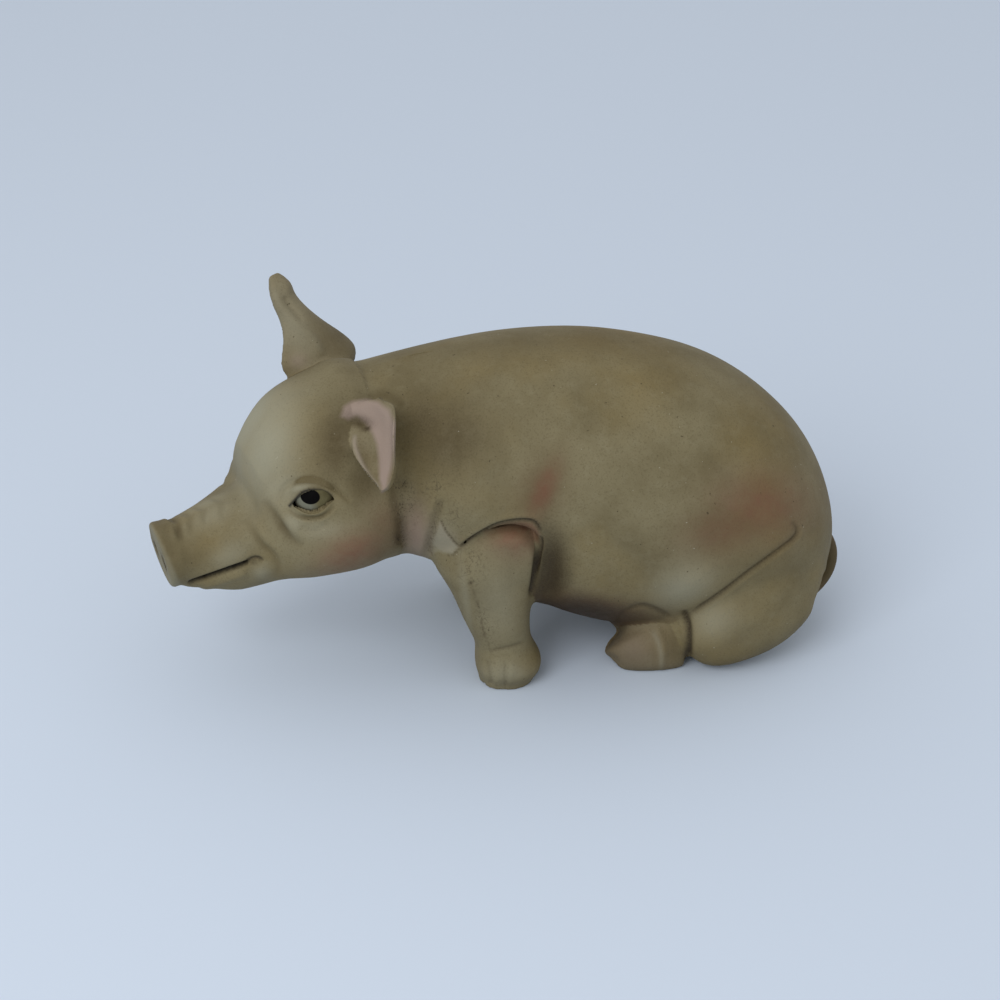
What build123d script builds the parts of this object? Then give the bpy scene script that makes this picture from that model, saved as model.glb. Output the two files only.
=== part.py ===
from build123d import *
import math
import os

# Whole figure, in millimetres: it faces -X, its left side is -Y and it rests on Z = 0
figure_shift_back = -4.66
figure_shift_left = 0.0
glue_gap = 0.3
overrun = 60.0
section_points = 12

# Trunk: the large casting, from the neck joint to the end of the rump
trunk_length = 171.0
trunk_width = 105.0
back_height = 120.5
neck_forward = 43.6
neck_height = 76.0
neck_nod = 6.0
neck_swing = 9.0
spigot_diameter = 30.0
spigot_length = 15.0
# along, half width, top, underside, height of the widest line, share of the neck's turn
trunk_shares = (
    (0.000, 0.690, 0.925, 0.350, 0.58, 1.00),
    (0.075, 0.760, 0.945, 0.325, 0.58, 0.65),
    (0.165, 0.850, 0.968, 0.270, 0.58, 0.25),
    (0.250, 0.915, 0.985, 0.220, 0.57, 0.00),
    (0.355, 0.965, 0.994, 0.150, 0.53, 0.00),
    (0.475, 0.990, 0.985, 0.080, 0.50, 0.00),
    (0.590, 1.000, 0.952, 0.055, 0.48, 0.00),
    (0.700, 0.985, 0.900, 0.050, 0.46, 0.00),
    (0.790, 0.930, 0.829, 0.055, 0.43, 0.00),
    (0.865, 0.830, 0.742, 0.075, 0.40, 0.00),
    (0.925, 0.680, 0.645, 0.115, 0.37, 0.00),
    (0.965, 0.500, 0.545, 0.170, 0.35, 0.00),
    (0.990, 0.280, 0.440, 0.235, 0.34, 0.00),
)
rump_tip_share = 0.335

# Head: its own casting, turned and nodded from the neck joint
head_length = 77.5
head_width = 80.0
crown_rise = 39.5
jowl_drop = 34.5
head_nod = 16.0
head_swing = 15.0
jowl_overhang = 1.6
# along, half width, rise, drop, widest line in drops above the axis, share of the head's turn
head_shares = (
    (0.125, 0.985, 0.970, 0.915, -0.10, 0.50),
    (0.250, 1.000, 0.945, 0.865, -0.12, 0.85),
    (0.365, 0.975, 0.870, 0.800, -0.12, 1.00),
    (0.453, 0.912, 0.740, 0.760, -0.12, 1.00),
    (0.528, 0.825, 0.585, 0.745, -0.12, 1.00),
    (0.591, 0.712, 0.440, 0.740, -0.12, 1.00),
    (0.654, 0.600, 0.350, 0.735, -0.12, 1.00),
    (0.730, 0.512, 0.320, 0.705, -0.12, 1.00),
    (0.830, 0.420, 0.295, 0.635, -0.10, 1.00),
    (0.906, 0.360, 0.285, 0.525, -0.06, 1.00),
    (0.969, 0.322, 0.280, 0.425, -0.03, 1.00),
    (1.000, 0.308, 0.275, 0.375, 0.00, 1.00),
)

# Snout disc on the front of the head
disc_width = 26.5
disc_height = 24.0
disc_thickness = 6.5
disc_overlap = 2.0
disc_rise = 0.2
disc_rounding = 1.8
nostril_width = 4.4
nostril_height = 6.8
nostril_spacing = 11.5
nostril_depth = 6.0
nostril_tilt = 18.0
nostril_end_share = 0.55

# Mouth slit, from the snout back to the corner in the cheek
mouth_opening = 1.4
mouth_inner_side = 10.5
# along the head, height in drops
mouth_line_shares = (
    (0.950, -0.225),
    (0.900, -0.202),
    (0.840, -0.180),
    (0.770, -0.155),
    (0.720, -0.095),
)

# Eyes: balls set in under a raised lid
eye_diameter = 17.0
eye_forward = 27.0
eye_rise = 13.0
eye_side = 26.6
eye_swing = 68.0
eye_look_up = 20.0
lid_thickness = 1.3
lid_opening_length = 14.5
lid_opening_rise = 4.0
lid_opening_drop = 3.4

# Ears: cupped leaves let into the head, the left one drooping and the right one raised
drooping_ear_length = 29.0
raised_ear_length = 36.0
ear_half_width = 14.5
ear_thickness = 4.6
ear_rim_thickness = 2.0
ear_cup = 5.5
ear_root_rise = 31.0
ear_root_side = 25.0
drooping_root_forward = -1.0
raised_root_forward = -1.5
drooping_tip_shares = (0.78, -0.53, 0.26)
drooping_cup_shares = (0.45, 0.66, 0.60)
raised_tip_shares = (0.50, 0.85, 0.10)
raised_cup_shares = (0.75, -0.40, 0.45)
# along, half width, thickness, cup, middle moved back
drooping_ear_shares = (
    (-0.180, 0.450, 1.000, 0.40, 0.00),
    (0.020, 0.640, 1.100, 0.60, 0.03),
    (0.200, 0.830, 1.000, 0.90, 0.10),
    (0.400, 0.790, 0.850, 1.00, 0.21),
    (0.620, 0.630, 0.740, 0.80, 0.19),
    (0.820, 0.410, 0.640, 0.50, 0.10),
    (0.940, 0.240, 0.540, 0.25, 0.03),
    (1.000, 0.100, 0.460, 0.10, 0.00),
)
raised_ear_shares = (
    (-0.140, 0.800, 1.000, 0.70, 0.00),
    (0.020, 1.050, 1.050, 1.00, 0.00),
    (0.180, 1.000, 1.000, 1.00, 0.00),
    (0.360, 0.680, 0.900, 0.75, 0.00),
    (0.560, 0.440, 0.840, 0.45, 0.00),
    (0.760, 0.340, 0.800, 0.30, 0.00),
    (0.920, 0.260, 0.700, 0.15, 0.00),
    (1.000, 0.110, 0.500, 0.05, 0.00),
)
leaf_point_shares = (-1.0, -0.5, 0.0, 0.5, 1.0)

# Front legs: a rounded top in a shoulder recess, a fetlock and a cleft trotter
front_leg_height = 70.5
front_leg_depth = 38.0
front_leg_width = 30.0
front_leg_side = 31.0
front_leg_forward = 0.0
front_leg_fullness = 2.3
# height, half depth, half width, centre moved forward, centre moved outward
front_leg_shares = (
    (0.000, 0.520, 0.700, -0.03, 0.05),
    (0.060, 0.600, 0.790, -0.05, 0.05),
    (0.150, 0.610, 0.810, -0.04, 0.05),
    (0.215, 0.560, 0.740, -0.01, 0.04),
    (0.310, 0.600, 0.790, 0.03, 0.03),
    (0.450, 0.730, 0.890, 0.07, 0.01),
    (0.590, 0.870, 0.970, 0.12, 0.00),
    (0.720, 0.950, 1.000, 0.15, 0.00),
    (0.820, 0.840, 0.960, 0.09, -0.01),
    (0.900, 0.660, 0.850, 0.03, -0.04),
    (0.960, 0.440, 0.650, -0.02, -0.08),
)
window_first_section = 5
window_reach_share = 0.84
window_crown_share = 0.60
window_crown_drop = 0.6
cleft_section = 1
cleft_width = 1.6
cleft_depth = 4.0
cleft_height = 11.0
cleft_swing = 30.0

# Hind legs: the folded shank and hock under the haunch
hind_leg_length = 60.0
hind_leg_width = 40.0
hind_leg_height = 48.0
hind_leg_side = 32.0
hind_leg_forward = -65.0
hind_leg_start_height = 8.0
hind_leg_lift = 37.0
hind_leg_swing = 7.0
hind_leg_fullness = 2.3
# along, half width, half height
hind_leg_shares = (
    (0.020, 0.430, 0.360),
    (0.090, 0.720, 0.600),
    (0.240, 0.910, 0.810),
    (0.430, 1.000, 0.970),
    (0.620, 0.970, 1.000),
    (0.790, 0.820, 0.900),
    (0.920, 0.520, 0.580),
)

# Hind feet: short trotters lying forward of the shanks
hind_foot_length = 27.5
hind_foot_width = 25.0
hind_foot_height = 24.0
hind_foot_side = 28.0
hind_foot_heel = -66.5
hind_foot_axis_height = 9.0
hind_foot_sole_cut = 3.0
hind_foot_toe_height = 5.0
hind_foot_fullness = 2.4
hind_cleft_width = 1.6
hind_cleft_length = 9.0
# along, half width, top
hind_foot_shares = (
    (0.000, 0.780, 0.760),
    (0.120, 0.940, 0.940),
    (0.350, 1.000, 1.000),
    (0.620, 0.940, 0.820),
    (0.830, 0.740, 0.570),
    (0.960, 0.440, 0.400),
)

# Tail: a short tapering curl with a peg in the rump
tail_root_diameter = 7.0
tail_tip_diameter = 4.0
tail_curl_radius = 14.0
tail_curl_back = -116.5
tail_curl_height = 22.0
tail_start_angle = 65.0
tail_end_angle = -65.0
tail_side_reach = 5.0
tail_stations = 7

# Pegs that locate the glued feet
peg_diameter = 7.0
peg_length = 8.0

# Shoulder filler: a three-cornered patch in front of the top of the left leg
filler_inset = 17.5
# forward in leg depths and height in leg heights, for each corner
filler_corner_shares = ((0.705, 0.855), (0.641, 1.009), (0.332, 0.889), (0.415, 0.769))


def frame_at(frame, side=0.0, up=0.0, forward=0.0, swing=0.0, nod=0.0):
    """A plane carried by another: its X points to the left side, its Y up and its normal forward."""
    place = frame.location * Location((side, up, forward))
    turned = place * Location((0, 0, 0), (0, swing, 0))
    return Plane(turned * Location((0, 0, 0), (nod, 0, 0)))


def level_at(frame, side, up, forward):
    """A level plane: its X points to the left side, its Y backward and its normal up."""
    return Plane(frame.location * Location((side, up, forward), (-90, 0, 0)))


def upright_at(frame, side):
    """A side view: its X points backward, its Y up and its normal to the left side."""
    return Plane(frame.location * Location((side, 0, 0), (0, 90, 0)))


def rounded_power(value, fullness):
    """A signed power that turns a circle into a fuller rounded section."""
    return math.copysign(abs(value) ** (2 / fullness), value)


def egg_points(half_width, rise, drop, widest=0.0, fullness=2.0):
    """Points of a rounded section whose upper and lower halves have their own heights."""
    points = []
    for number in range(section_points):
        angle = 2 * math.pi * number / section_points
        across = half_width * rounded_power(math.cos(angle), fullness)
        height = rounded_power(math.sin(angle), fullness)
        reach = rise - widest if height > 0 else drop + widest
        points.append((across, widest + reach * height))
    return points


def leaf_section(plane, half_width, thickness, rim, cup, moved):
    """A flat section whose two rims curl forward: two bent faces joined by narrow rims."""
    outer = []
    inner = []
    for across in leaf_point_shares:
        half = leaf_half(thickness, rim, across)
        outer.append((moved + half_width * across, cup * across ** 2 - half))
        inner.append((moved + half_width * across, cup * across ** 2 + half))
    with BuildSketch(plane) as section:
        with BuildLine():
            Spline(*outer)
            Line(outer[-1], inner[-1])
            Spline(*inner[::-1])
            Line(inner[0], outer[0])
        make_face()
    return section.sketch


def leaf_half(thickness, rim, across):
    """Half the thickness of a leaf, from its middle out to its rim."""
    return (thickness + (rim - thickness) * across ** 2) / 2


def skin_through(planes, outlines, tip=None, start_tip=None):
    """One smooth solid through closed outlines on their planes, with a point at either end."""
    sections = []
    for plane, outline in zip(planes, outlines):
        with BuildSketch(plane) as section:
            with BuildLine():
                Spline(*outline, periodic=True)
            make_face()
        sections.append(section.sketch)
    if tip is not None:
        sections.append(Vertex(*tip))
    if start_tip is not None:
        sections.insert(0, Vertex(*start_tip))
    with BuildPart() as form:
        loft(sections=sections)
    return form.part


def bar_on(plane, diameter, length):
    """A round bar standing on a plane."""
    with BuildPart() as bar:
        with BuildSketch(plane):
            Circle(diameter / 2)
        extrude(amount=length)
    return bar.part


figure = Plane(origin=(figure_shift_back, figure_shift_left, 0), x_dir=(0, -1, 0), z_dir=(-1, 0, 0))
neck = frame_at(figure, 0, neck_height, neck_forward, neck_swing, neck_nod)
head_frame = frame_at(figure, 0, neck_height, neck_forward, head_swing, head_nod)
sides = {"left": 1, "right": -1}


def trunk_form():
    """The plain trunk, from the neck joint back to the rump."""
    planes = []
    outlines = []
    for along, half, top, under, widest, turn in trunk_shares:
        forward = neck_forward - along * trunk_length
        planes.append(frame_at(figure, 0, neck_height, forward, neck_swing * turn, neck_nod * turn))
        rise = top * back_height - neck_height
        drop = neck_height - under * back_height
        outlines.append(egg_points(half * trunk_width / 2, rise, drop, widest * back_height - neck_height))
    tip = figure.from_local_coords((0, rump_tip_share * back_height, neck_forward - trunk_length))
    return skin_through(planes, outlines, tip=tip)


def head_form():
    """The plain head, from the neck joint forward to the back of the snout disc."""
    half, top, under, widest = trunk_shares[0][1:5]
    rise = top * back_height - neck_height
    drop = neck_height - under * back_height + jowl_overhang
    planes = [neck.offset(glue_gap)]
    outlines = [
        egg_points(half * trunk_width / 2 + jowl_overhang, rise, drop, widest * back_height - neck_height)
    ]
    for along, half, rise, drop, widest, turn in head_shares:
        swing = (turn - 1) * (head_swing - neck_swing)
        nod = (turn - 1) * (head_nod - neck_nod)
        planes.append(frame_at(head_frame, 0, 0, along * head_length, swing, nod))
        reach = half * head_width / 2
        outlines.append(egg_points(reach, rise * crown_rise, drop * jowl_drop, widest * jowl_drop))
    return skin_through(planes, outlines)


def nostril(hand):
    """The hollow of one nostril, cut back from the face of the disc."""
    ahead = head_length - disc_overlap + disc_thickness
    face = frame_at(head_frame, hand * nostril_spacing / 2, disc_rise, ahead)
    with BuildPart() as hollow:
        with BuildSketch(face.offset(disc_rounding)):
            Ellipse(nostril_width / 2, nostril_height / 2, rotation=hand * nostril_tilt)
        with BuildSketch(face.offset(-nostril_depth)):
            end_width = nostril_end_share * nostril_width
            end_height = nostril_end_share * nostril_height
            Ellipse(end_width / 2, end_height / 2, rotation=hand * nostril_tilt)
        loft(ruled=True)
    return hollow.part


def mouth_slit(hand):
    """One side of the mouth: a thin curved strip in side view, cut in from the cheek."""
    line = [(-along * head_length, drop * jowl_drop) for along, drop in mouth_line_shares]
    upper = [(across, height + mouth_opening / 2) for across, height in line]
    lower = [(across, height - mouth_opening / 2) for across, height in line]
    with BuildPart() as slit:
        with BuildSketch(upright_at(head_frame, hand * mouth_inner_side)):
            with BuildLine():
                Spline(*upper)
                Line(upper[-1], lower[-1])
                Spline(*lower[::-1])
                Line(lower[0], upper[0])
            make_face()
        extrude(amount=hand * overrun)
    return slit.part


def eye_frame(hand):
    """The plane at the middle of an eyeball, its normal looking out of the head."""
    return frame_at(head_frame, hand * eye_side, eye_rise, eye_forward, hand * eye_swing, -eye_look_up)


def ball_at(plane, diameter):
    """A ball round the origin of a plane."""
    with BuildPart() as ball:
        with BuildSketch(plane):
            Circle(diameter / 2)
            Rectangle(diameter, diameter, align=(Align.MAX, Align.CENTER), mode=Mode.SUBTRACT)
        revolve(axis=Axis(plane.origin, plane.y_dir))
    return ball.part


def lid_opening(hand):
    """The almond opening between the lids, cut outward from the middle of the eyeball."""
    half = lid_opening_length / 2
    with BuildPart() as opening:
        with BuildSketch(eye_frame(hand)):
            with BuildLine():
                ThreePointArc((-half, 0), (0, lid_opening_rise), (half, 0))
                ThreePointArc((half, 0), (0, -lid_opening_drop), (-half, 0))
            make_face()
        extrude(amount=overrun)
    return opening.part


def ear_frame(hand, root_forward, tip_shares, cup_shares):
    """The root of an ear: its normal runs to the tip and its Y faces the open side of the cup."""
    along = Vector(hand * tip_shares[0], tip_shares[1], tip_shares[2]).normalized()
    cup = Vector(hand * cup_shares[0], cup_shares[1], cup_shares[2])
    across = cup.cross(along).normalized()
    root = Vector(hand * ear_root_side, ear_root_rise, root_forward)
    origin = head_frame.from_local_coords(root)
    x_dir = head_frame.from_local_coords(root + across) - origin
    z_dir = head_frame.from_local_coords(root + along) - origin
    return Plane(origin=origin, x_dir=x_dir, z_dir=z_dir)


def ear_form(hand, grow=0.0):
    """A cupped ear, from the tang in its pocket to the tip."""
    if hand > 0:
        frame = ear_frame(hand, drooping_root_forward, drooping_tip_shares, drooping_cup_shares)
        length = drooping_ear_length
        stations = drooping_ear_shares
    else:
        frame = ear_frame(hand, raised_root_forward, raised_tip_shares, raised_cup_shares)
        length = raised_ear_length
        stations = raised_ear_shares
    sections = []
    for along, half, thick, cup, moved in stations:
        end = grow * ((along == stations[-1][0]) - (along == stations[0][0]))
        thickness = thick * ear_thickness + 2 * grow
        rim = min(ear_rim_thickness, thick * ear_thickness) + 2 * grow
        half_width = half * ear_half_width + grow
        place = frame.offset(along * length + end)
        bend = cup * ear_cup
        back = moved * ear_half_width
        sections.append(leaf_section(place, half_width, thickness, rim, bend, back))
    with BuildPart() as form:
        loft(sections=sections)
    return form.part


def front_leg_form(hand, grow=0.0):
    """A front leg, grown all round when it cuts its recess."""
    planes = []
    outlines = []
    for height, depth, width, ahead, out in front_leg_shares:
        side = hand * (front_leg_side + out * front_leg_width)
        forward = front_leg_forward + ahead * front_leg_depth
        planes.append(level_at(figure, side, height * front_leg_height, forward))
        half_width = width * front_leg_width / 2 + grow
        half_depth = depth * front_leg_depth / 2 + grow
        outlines.append(egg_points(half_width, half_depth, half_depth, 0, front_leg_fullness))
    tip = level_at(figure, side, front_leg_height + grow, forward).origin
    return skin_through(planes, outlines, tip=tip)


def shoulder_window(hand):
    """The outer opening of a shoulder recess: a little less than the side view of the leg's top."""
    front = []
    back = []
    for height, depth, width, ahead, out in front_leg_shares[window_first_section:]:
        middle = front_leg_forward + ahead * front_leg_depth
        reach = window_reach_share * depth * front_leg_depth / 2
        front.append((-middle - reach, height * front_leg_height))
        back.append((-middle + reach, height * front_leg_height))
    crown = [
        (-middle - window_crown_share * reach, front_leg_height - 2 * window_crown_drop),
        (-middle, front_leg_height - window_crown_drop),
        (-middle + window_crown_share * reach, front_leg_height - 2 * window_crown_drop),
    ]
    outline = front + crown + back[::-1]
    with BuildPart() as window:
        with BuildSketch(upright_at(figure, hand * front_leg_side)):
            with BuildLine():
                Spline(*outline)
                Line(outline[-1], outline[0])
            make_face()
        extrude(amount=hand * overrun)
    return window.part


def front_cleft(hand):
    """The cleft of a front trotter: a groove up its front, turned outward."""
    height, depth, width, ahead, out = front_leg_shares[cleft_section]
    side = hand * (front_leg_side + out * front_leg_width)
    middle = level_at(figure, side, 0, front_leg_forward + ahead * front_leg_depth)
    turned = Plane(middle.location * Location((0, 0, 0), (0, 0, hand * cleft_swing)))
    with BuildPart() as cleft:
        with BuildSketch(turned):
            with Locations((0, -depth * front_leg_depth / 2)):
                Rectangle(cleft_width, 2 * cleft_depth)
        extrude(amount=cleft_height)
    return cleft.part


def hind_cleft(hand):
    """The cleft of a hind trotter: a slot right through its toe."""
    toe = hind_foot_heel + hind_foot_length
    with BuildPart() as cleft:
        with BuildSketch(level_at(figure, hand * hind_foot_side, 0, toe)):
            Rectangle(hind_cleft_width, 2 * hind_cleft_length)
        extrude(amount=hind_foot_height, both=True)
    return cleft.part


def hind_leg_form(hand, grow=0.0):
    """A folded hind leg, from its front end under the stifle back and up to the hock."""
    side = hand * hind_leg_side
    turn = hand * hind_leg_swing
    start = frame_at(figure, side, hind_leg_start_height, hind_leg_forward, turn, hind_leg_lift)
    planes = []
    outlines = []
    for along, half, height in hind_leg_shares:
        planes.append(start.offset(-along * hind_leg_length))
        tall = height * hind_leg_height / 2 + grow
        outlines.append(egg_points(half * hind_leg_width / 2 + grow, tall, tall, 0, hind_leg_fullness))
    back = start.offset(-hind_leg_length - grow).origin
    front = start.offset(grow).origin
    return skin_through(planes, outlines, tip=back, start_tip=front)


def hind_foot_form(hand, grow=0.0):
    """A hind foot, from its heel forward to the toe."""
    planes = []
    outlines = []
    for along, half, top in hind_foot_shares:
        forward = hind_foot_heel + along * hind_foot_length - (grow if along == 0 else 0)
        planes.append(frame_at(figure, hand * hind_foot_side, hind_foot_axis_height, forward))
        rise = top * hind_foot_height - hind_foot_axis_height + grow
        drop = hind_foot_axis_height + hind_foot_sole_cut + grow
        outlines.append(egg_points(half * hind_foot_width / 2 + grow, rise, drop, 0, hind_foot_fullness))
    toe = (hand * hind_foot_side, hind_foot_toe_height, hind_foot_heel + hind_foot_length + grow)
    return skin_through(planes, outlines, tip=figure.from_local_coords(toe))


def hind_peg(hand, grow=0.0):
    """The peg that joins a hind foot to its leg, pointing backward from the heel."""
    root = frame_at(figure, hand * hind_foot_side, hind_foot_axis_height + peg_diameter / 2, hind_foot_heel)
    reach = peg_length + peg_diameter / 2 + grow
    return bar_on(root.offset(peg_diameter / 2), peg_diameter + 2 * grow, -reach)


def tail_form(grow=0.0):
    """The tapering curl of the tail: round sections along an arc that swings to the left."""
    planes = []
    outlines = []
    for number in range(tail_stations):
        share = number / (tail_stations - 1)
        angle = tail_start_angle + share * (tail_end_angle - tail_start_angle)
        radius = (tail_root_diameter + share * (tail_tip_diameter - tail_root_diameter)) / 2 + grow
        side = tail_side_reach * share ** 2
        up = tail_curl_height + tail_curl_radius * math.sin(math.radians(angle))
        back = tail_curl_back - tail_curl_radius * math.cos(math.radians(angle))
        planes.append(frame_at(figure, side, up, back, 0, 90 + angle))
        outlines.append(egg_points(radius, radius, radius))
    tip = planes[-1].offset(tail_tip_diameter / 2).origin
    return skin_through(planes, outlines, tip=tip)


def filler_prism(grow=0.0):
    """The outline of the shoulder filler in side view, cut outward from its depth."""
    corners = []
    for forward, height in filler_corner_shares:
        corners.append((-forward * front_leg_depth, height * front_leg_height))
    inner_side = trunk_width / 2 - filler_inset
    with BuildPart() as prism:
        with BuildSketch(upright_at(figure, inner_side - grow)):
            with BuildLine():
                Polyline(*corners, close=True)
            make_face()
            if grow > 0:
                offset(amount=grow)
        extrude(amount=overrun)
    return prism.part


with BuildPart() as trunk:
    add(trunk_form())
    add(bar_on(neck, spigot_diameter, spigot_length))
    for hand in sides.values():
        add(front_leg_form(hand, glue_gap), mode=Mode.SUBTRACT)
        add(shoulder_window(hand), mode=Mode.SUBTRACT)
        add(hind_leg_form(hand, glue_gap), mode=Mode.SUBTRACT)
        add(hind_foot_form(hand, glue_gap), mode=Mode.SUBTRACT)
        add(ear_form(hand, glue_gap), mode=Mode.SUBTRACT)
    add(filler_prism(glue_gap), mode=Mode.SUBTRACT)
    add(tail_form(glue_gap), mode=Mode.SUBTRACT)
trunk.part.label = "trunk"

with BuildPart() as head:
    add(head_form())
    with BuildSketch(frame_at(head_frame, 0, disc_rise, head_length - disc_overlap)) as disc:
        Ellipse(disc_width / 2, disc_height / 2)
    extrude(amount=disc_thickness)
    disc_face = head.faces().sort_by(Axis(head_frame.origin, head_frame.z_dir))[-1]
    fillet(disc_face.edges(), radius=disc_rounding)
    for hand in sides.values():
        add(ball_at(eye_frame(hand), eye_diameter + 2 * lid_thickness))
    add(bar_on(neck, spigot_diameter + 2 * glue_gap, spigot_length + glue_gap), mode=Mode.SUBTRACT)
    for hand in sides.values():
        add(ball_at(eye_frame(hand), eye_diameter + 2 * glue_gap), mode=Mode.SUBTRACT)
        add(lid_opening(hand), mode=Mode.SUBTRACT)
        add(nostril(hand), mode=Mode.SUBTRACT)
        add(mouth_slit(hand), mode=Mode.SUBTRACT)
        add(ear_form(hand, glue_gap), mode=Mode.SUBTRACT)
head.part.label = "head"

pieces = {"trunk": trunk.part, "head": head.part}

for name, hand in sides.items():
    with BuildPart() as eye:
        add(ball_at(eye_frame(hand), eye_diameter))
    pieces[f"{name}_eye"] = eye.part

    with BuildPart() as ear:
        add(ear_form(hand))
    pieces[f"{name}_ear"] = ear.part

    with BuildPart() as front_leg:
        add(front_leg_form(hand))
        add(front_cleft(hand), mode=Mode.SUBTRACT)
    pieces[f"{name}_front_leg"] = front_leg.part

    with BuildPart() as hind_leg:
        add(hind_leg_form(hand))
        add(hind_foot_form(hand, glue_gap), mode=Mode.SUBTRACT)
        add(hind_peg(hand, glue_gap), mode=Mode.SUBTRACT)
        split(bisect_by=Plane.XY, keep=Keep.TOP)
    pieces[f"{name}_hind_leg"] = hind_leg.part

    with BuildPart() as hind_foot:
        add(hind_foot_form(hand))
        add(hind_peg(hand))
        add(hind_cleft(hand), mode=Mode.SUBTRACT)
        split(bisect_by=Plane.XY, keep=Keep.TOP)
    pieces[f"{name}_hind_foot"] = hind_foot.part

with BuildPart() as tail:
    add(tail_form())
pieces["tail"] = tail.part

with BuildPart() as shoulder_filler:
    add(trunk_form())
    add(filler_prism(), mode=Mode.INTERSECT)
    add(front_leg_form(sides["left"], glue_gap), mode=Mode.SUBTRACT)
    add(shoulder_window(sides["left"]), mode=Mode.SUBTRACT)
pieces["shoulder_filler"] = shoulder_filler.part

os.makedirs("parts", exist_ok=True)
for name, piece in pieces.items():
    piece.label = name
    export_step(piece, f"parts/{name}.step")
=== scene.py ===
import bpy
import bmesh
import math
import numpy as np
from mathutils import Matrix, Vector
from mathutils.bvhtree import BVHTree


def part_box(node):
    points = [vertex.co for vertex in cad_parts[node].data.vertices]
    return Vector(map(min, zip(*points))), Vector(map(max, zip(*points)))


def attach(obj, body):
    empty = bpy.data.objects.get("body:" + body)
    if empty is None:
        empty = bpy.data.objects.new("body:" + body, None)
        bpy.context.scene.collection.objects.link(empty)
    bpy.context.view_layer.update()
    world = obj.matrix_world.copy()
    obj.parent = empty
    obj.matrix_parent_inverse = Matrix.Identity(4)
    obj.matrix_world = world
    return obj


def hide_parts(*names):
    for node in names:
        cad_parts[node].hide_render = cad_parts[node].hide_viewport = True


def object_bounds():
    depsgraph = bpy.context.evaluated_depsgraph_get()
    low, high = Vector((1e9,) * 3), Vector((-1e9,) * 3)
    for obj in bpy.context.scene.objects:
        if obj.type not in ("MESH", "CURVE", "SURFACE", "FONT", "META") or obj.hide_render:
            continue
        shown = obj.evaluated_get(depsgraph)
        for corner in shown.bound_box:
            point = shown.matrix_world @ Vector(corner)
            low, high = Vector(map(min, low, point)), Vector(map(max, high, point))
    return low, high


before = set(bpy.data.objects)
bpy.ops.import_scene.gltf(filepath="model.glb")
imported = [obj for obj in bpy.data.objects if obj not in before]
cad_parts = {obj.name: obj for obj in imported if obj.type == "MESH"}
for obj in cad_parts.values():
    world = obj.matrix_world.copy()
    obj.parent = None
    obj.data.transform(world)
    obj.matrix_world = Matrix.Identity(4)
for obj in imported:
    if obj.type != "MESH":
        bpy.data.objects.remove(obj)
cad_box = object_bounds()
mm = 0.001

# Camera: the picture is 1000 by 1000, seen a little from ahead of the side and from above
picture_middle = 500.0
picture_scale = 2000.0
camera_swing = math.radians(-8.0)
camera_rise = math.radians(28.0)
camera_distance = 736.0
camera_lens = 72.0
sensor_width = 36.0
camera_aim = np.array((-1.66, 0.0, 55.4))
to_camera = np.array((
    math.sin(camera_swing) * math.cos(camera_rise),
    -math.cos(camera_swing) * math.cos(camera_rise),
    math.sin(camera_rise),
))
camera_right = np.array((math.cos(camera_swing), math.sin(camera_swing), 0.0))
camera_up = np.cross(to_camera, camera_right)
camera_place = camera_aim + camera_distance * to_camera

# The head's own directions, from the middle of the neck joint
head_middle = np.array((-48.26, 0.0, 76.0))
head_ahead = np.array((-0.92849, -0.24879, -0.27564))
head_left = np.array((0.25882, -0.96593, 0.0))
head_up = np.array((-0.26624, -0.07134, 0.96126))

# How finely each casting is worked, and how far the joints are closed before that
body_grain = 0.84
head_grain = 0.525
joint_swell = 0.4
joint_reach = 3.5
joint_blend = 7.0
neck_reach = 9.0
neck_blend = 20.0
seam_reach = 4.0
overlap_reach = 1.5
border_rounds = 12
cap_depth = 0.9
merge_reach = 0.01
search_reach = 8
nothing_near = 99.0
nothing_near_from = 90

# Where the two meshes are cut off, in mm along the figure
body_mesh_start = -75
head_mesh_end = -28

# Smoothing: the share of the way that a round moves, and where the weight at a joint or seam starts
half_way = 0.5
first_rounds = 2
joint_weight = 1.2
neck_weight = 1.3
seam_weight = 1.3
ear_blend = 3
front_leg_blend = 12
hind_leg_blend = 20
foot_blend = 12
ankle_blend = 6

# How far the skin may turn away from the camera under a tool, as a cosine
stroke_facing = -0.05
patch_facing = -0.1
mound_facing = -0.3
any_facing = -1.1

# How the tools fade: the weakest strength that counts, how sharply a line ends, and how a crack breaks up
faintest = 0.004
faintest_smoothing = 0.02
line_steps = 5
line_reach = 4
line_end_power = 0.6
lip_distance = 2
break_waves = (41.0, 23.0)
break_start = 1.0

# Castings worked on each mesh, and the finish of each
body_nodes = [
    "trunk", "shoulder_filler", "tail",
    "left_front_leg", "right_front_leg", "left_hind_leg", "right_hind_leg",
    "left_hind_foot", "right_hind_foot",
]
head_nodes = ["head", "left_ear", "right_ear"]
cast_nodes = body_nodes + head_nodes
slots = {
    "trunk": "skin", "head": "skin", "left_ear": "ear", "right_ear": "ear",
    "left_front_leg": "leg", "right_front_leg": "leg", "left_hind_leg": "leg", "right_hind_leg": "leg",
    "left_hind_foot": "trotter", "right_hind_foot": "trotter", "tail": "tail", "shoulder_filler": "filler",
}

# Castings that a tool may touch together
legs = ("left_front_leg", "right_front_leg")
haunches = ("left_hind_leg", "right_hind_leg")
feet = ("left_hind_foot", "right_hind_foot")
torso = ("trunk", "shoulder_filler")
hind = torso + haunches
near_ear = ("left_ear",)
far_ear = ("right_ear",)
face = ("head",)
neck = face + torso


def shader_value(level):
    """One channel of a colour as it looks, 0 to 255, turned into the value that a shader takes."""
    if level < 10.3:
        return level / 255 / 12.92
    return ((level / 255 + 0.055) / 1.055) ** 2.4


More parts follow.
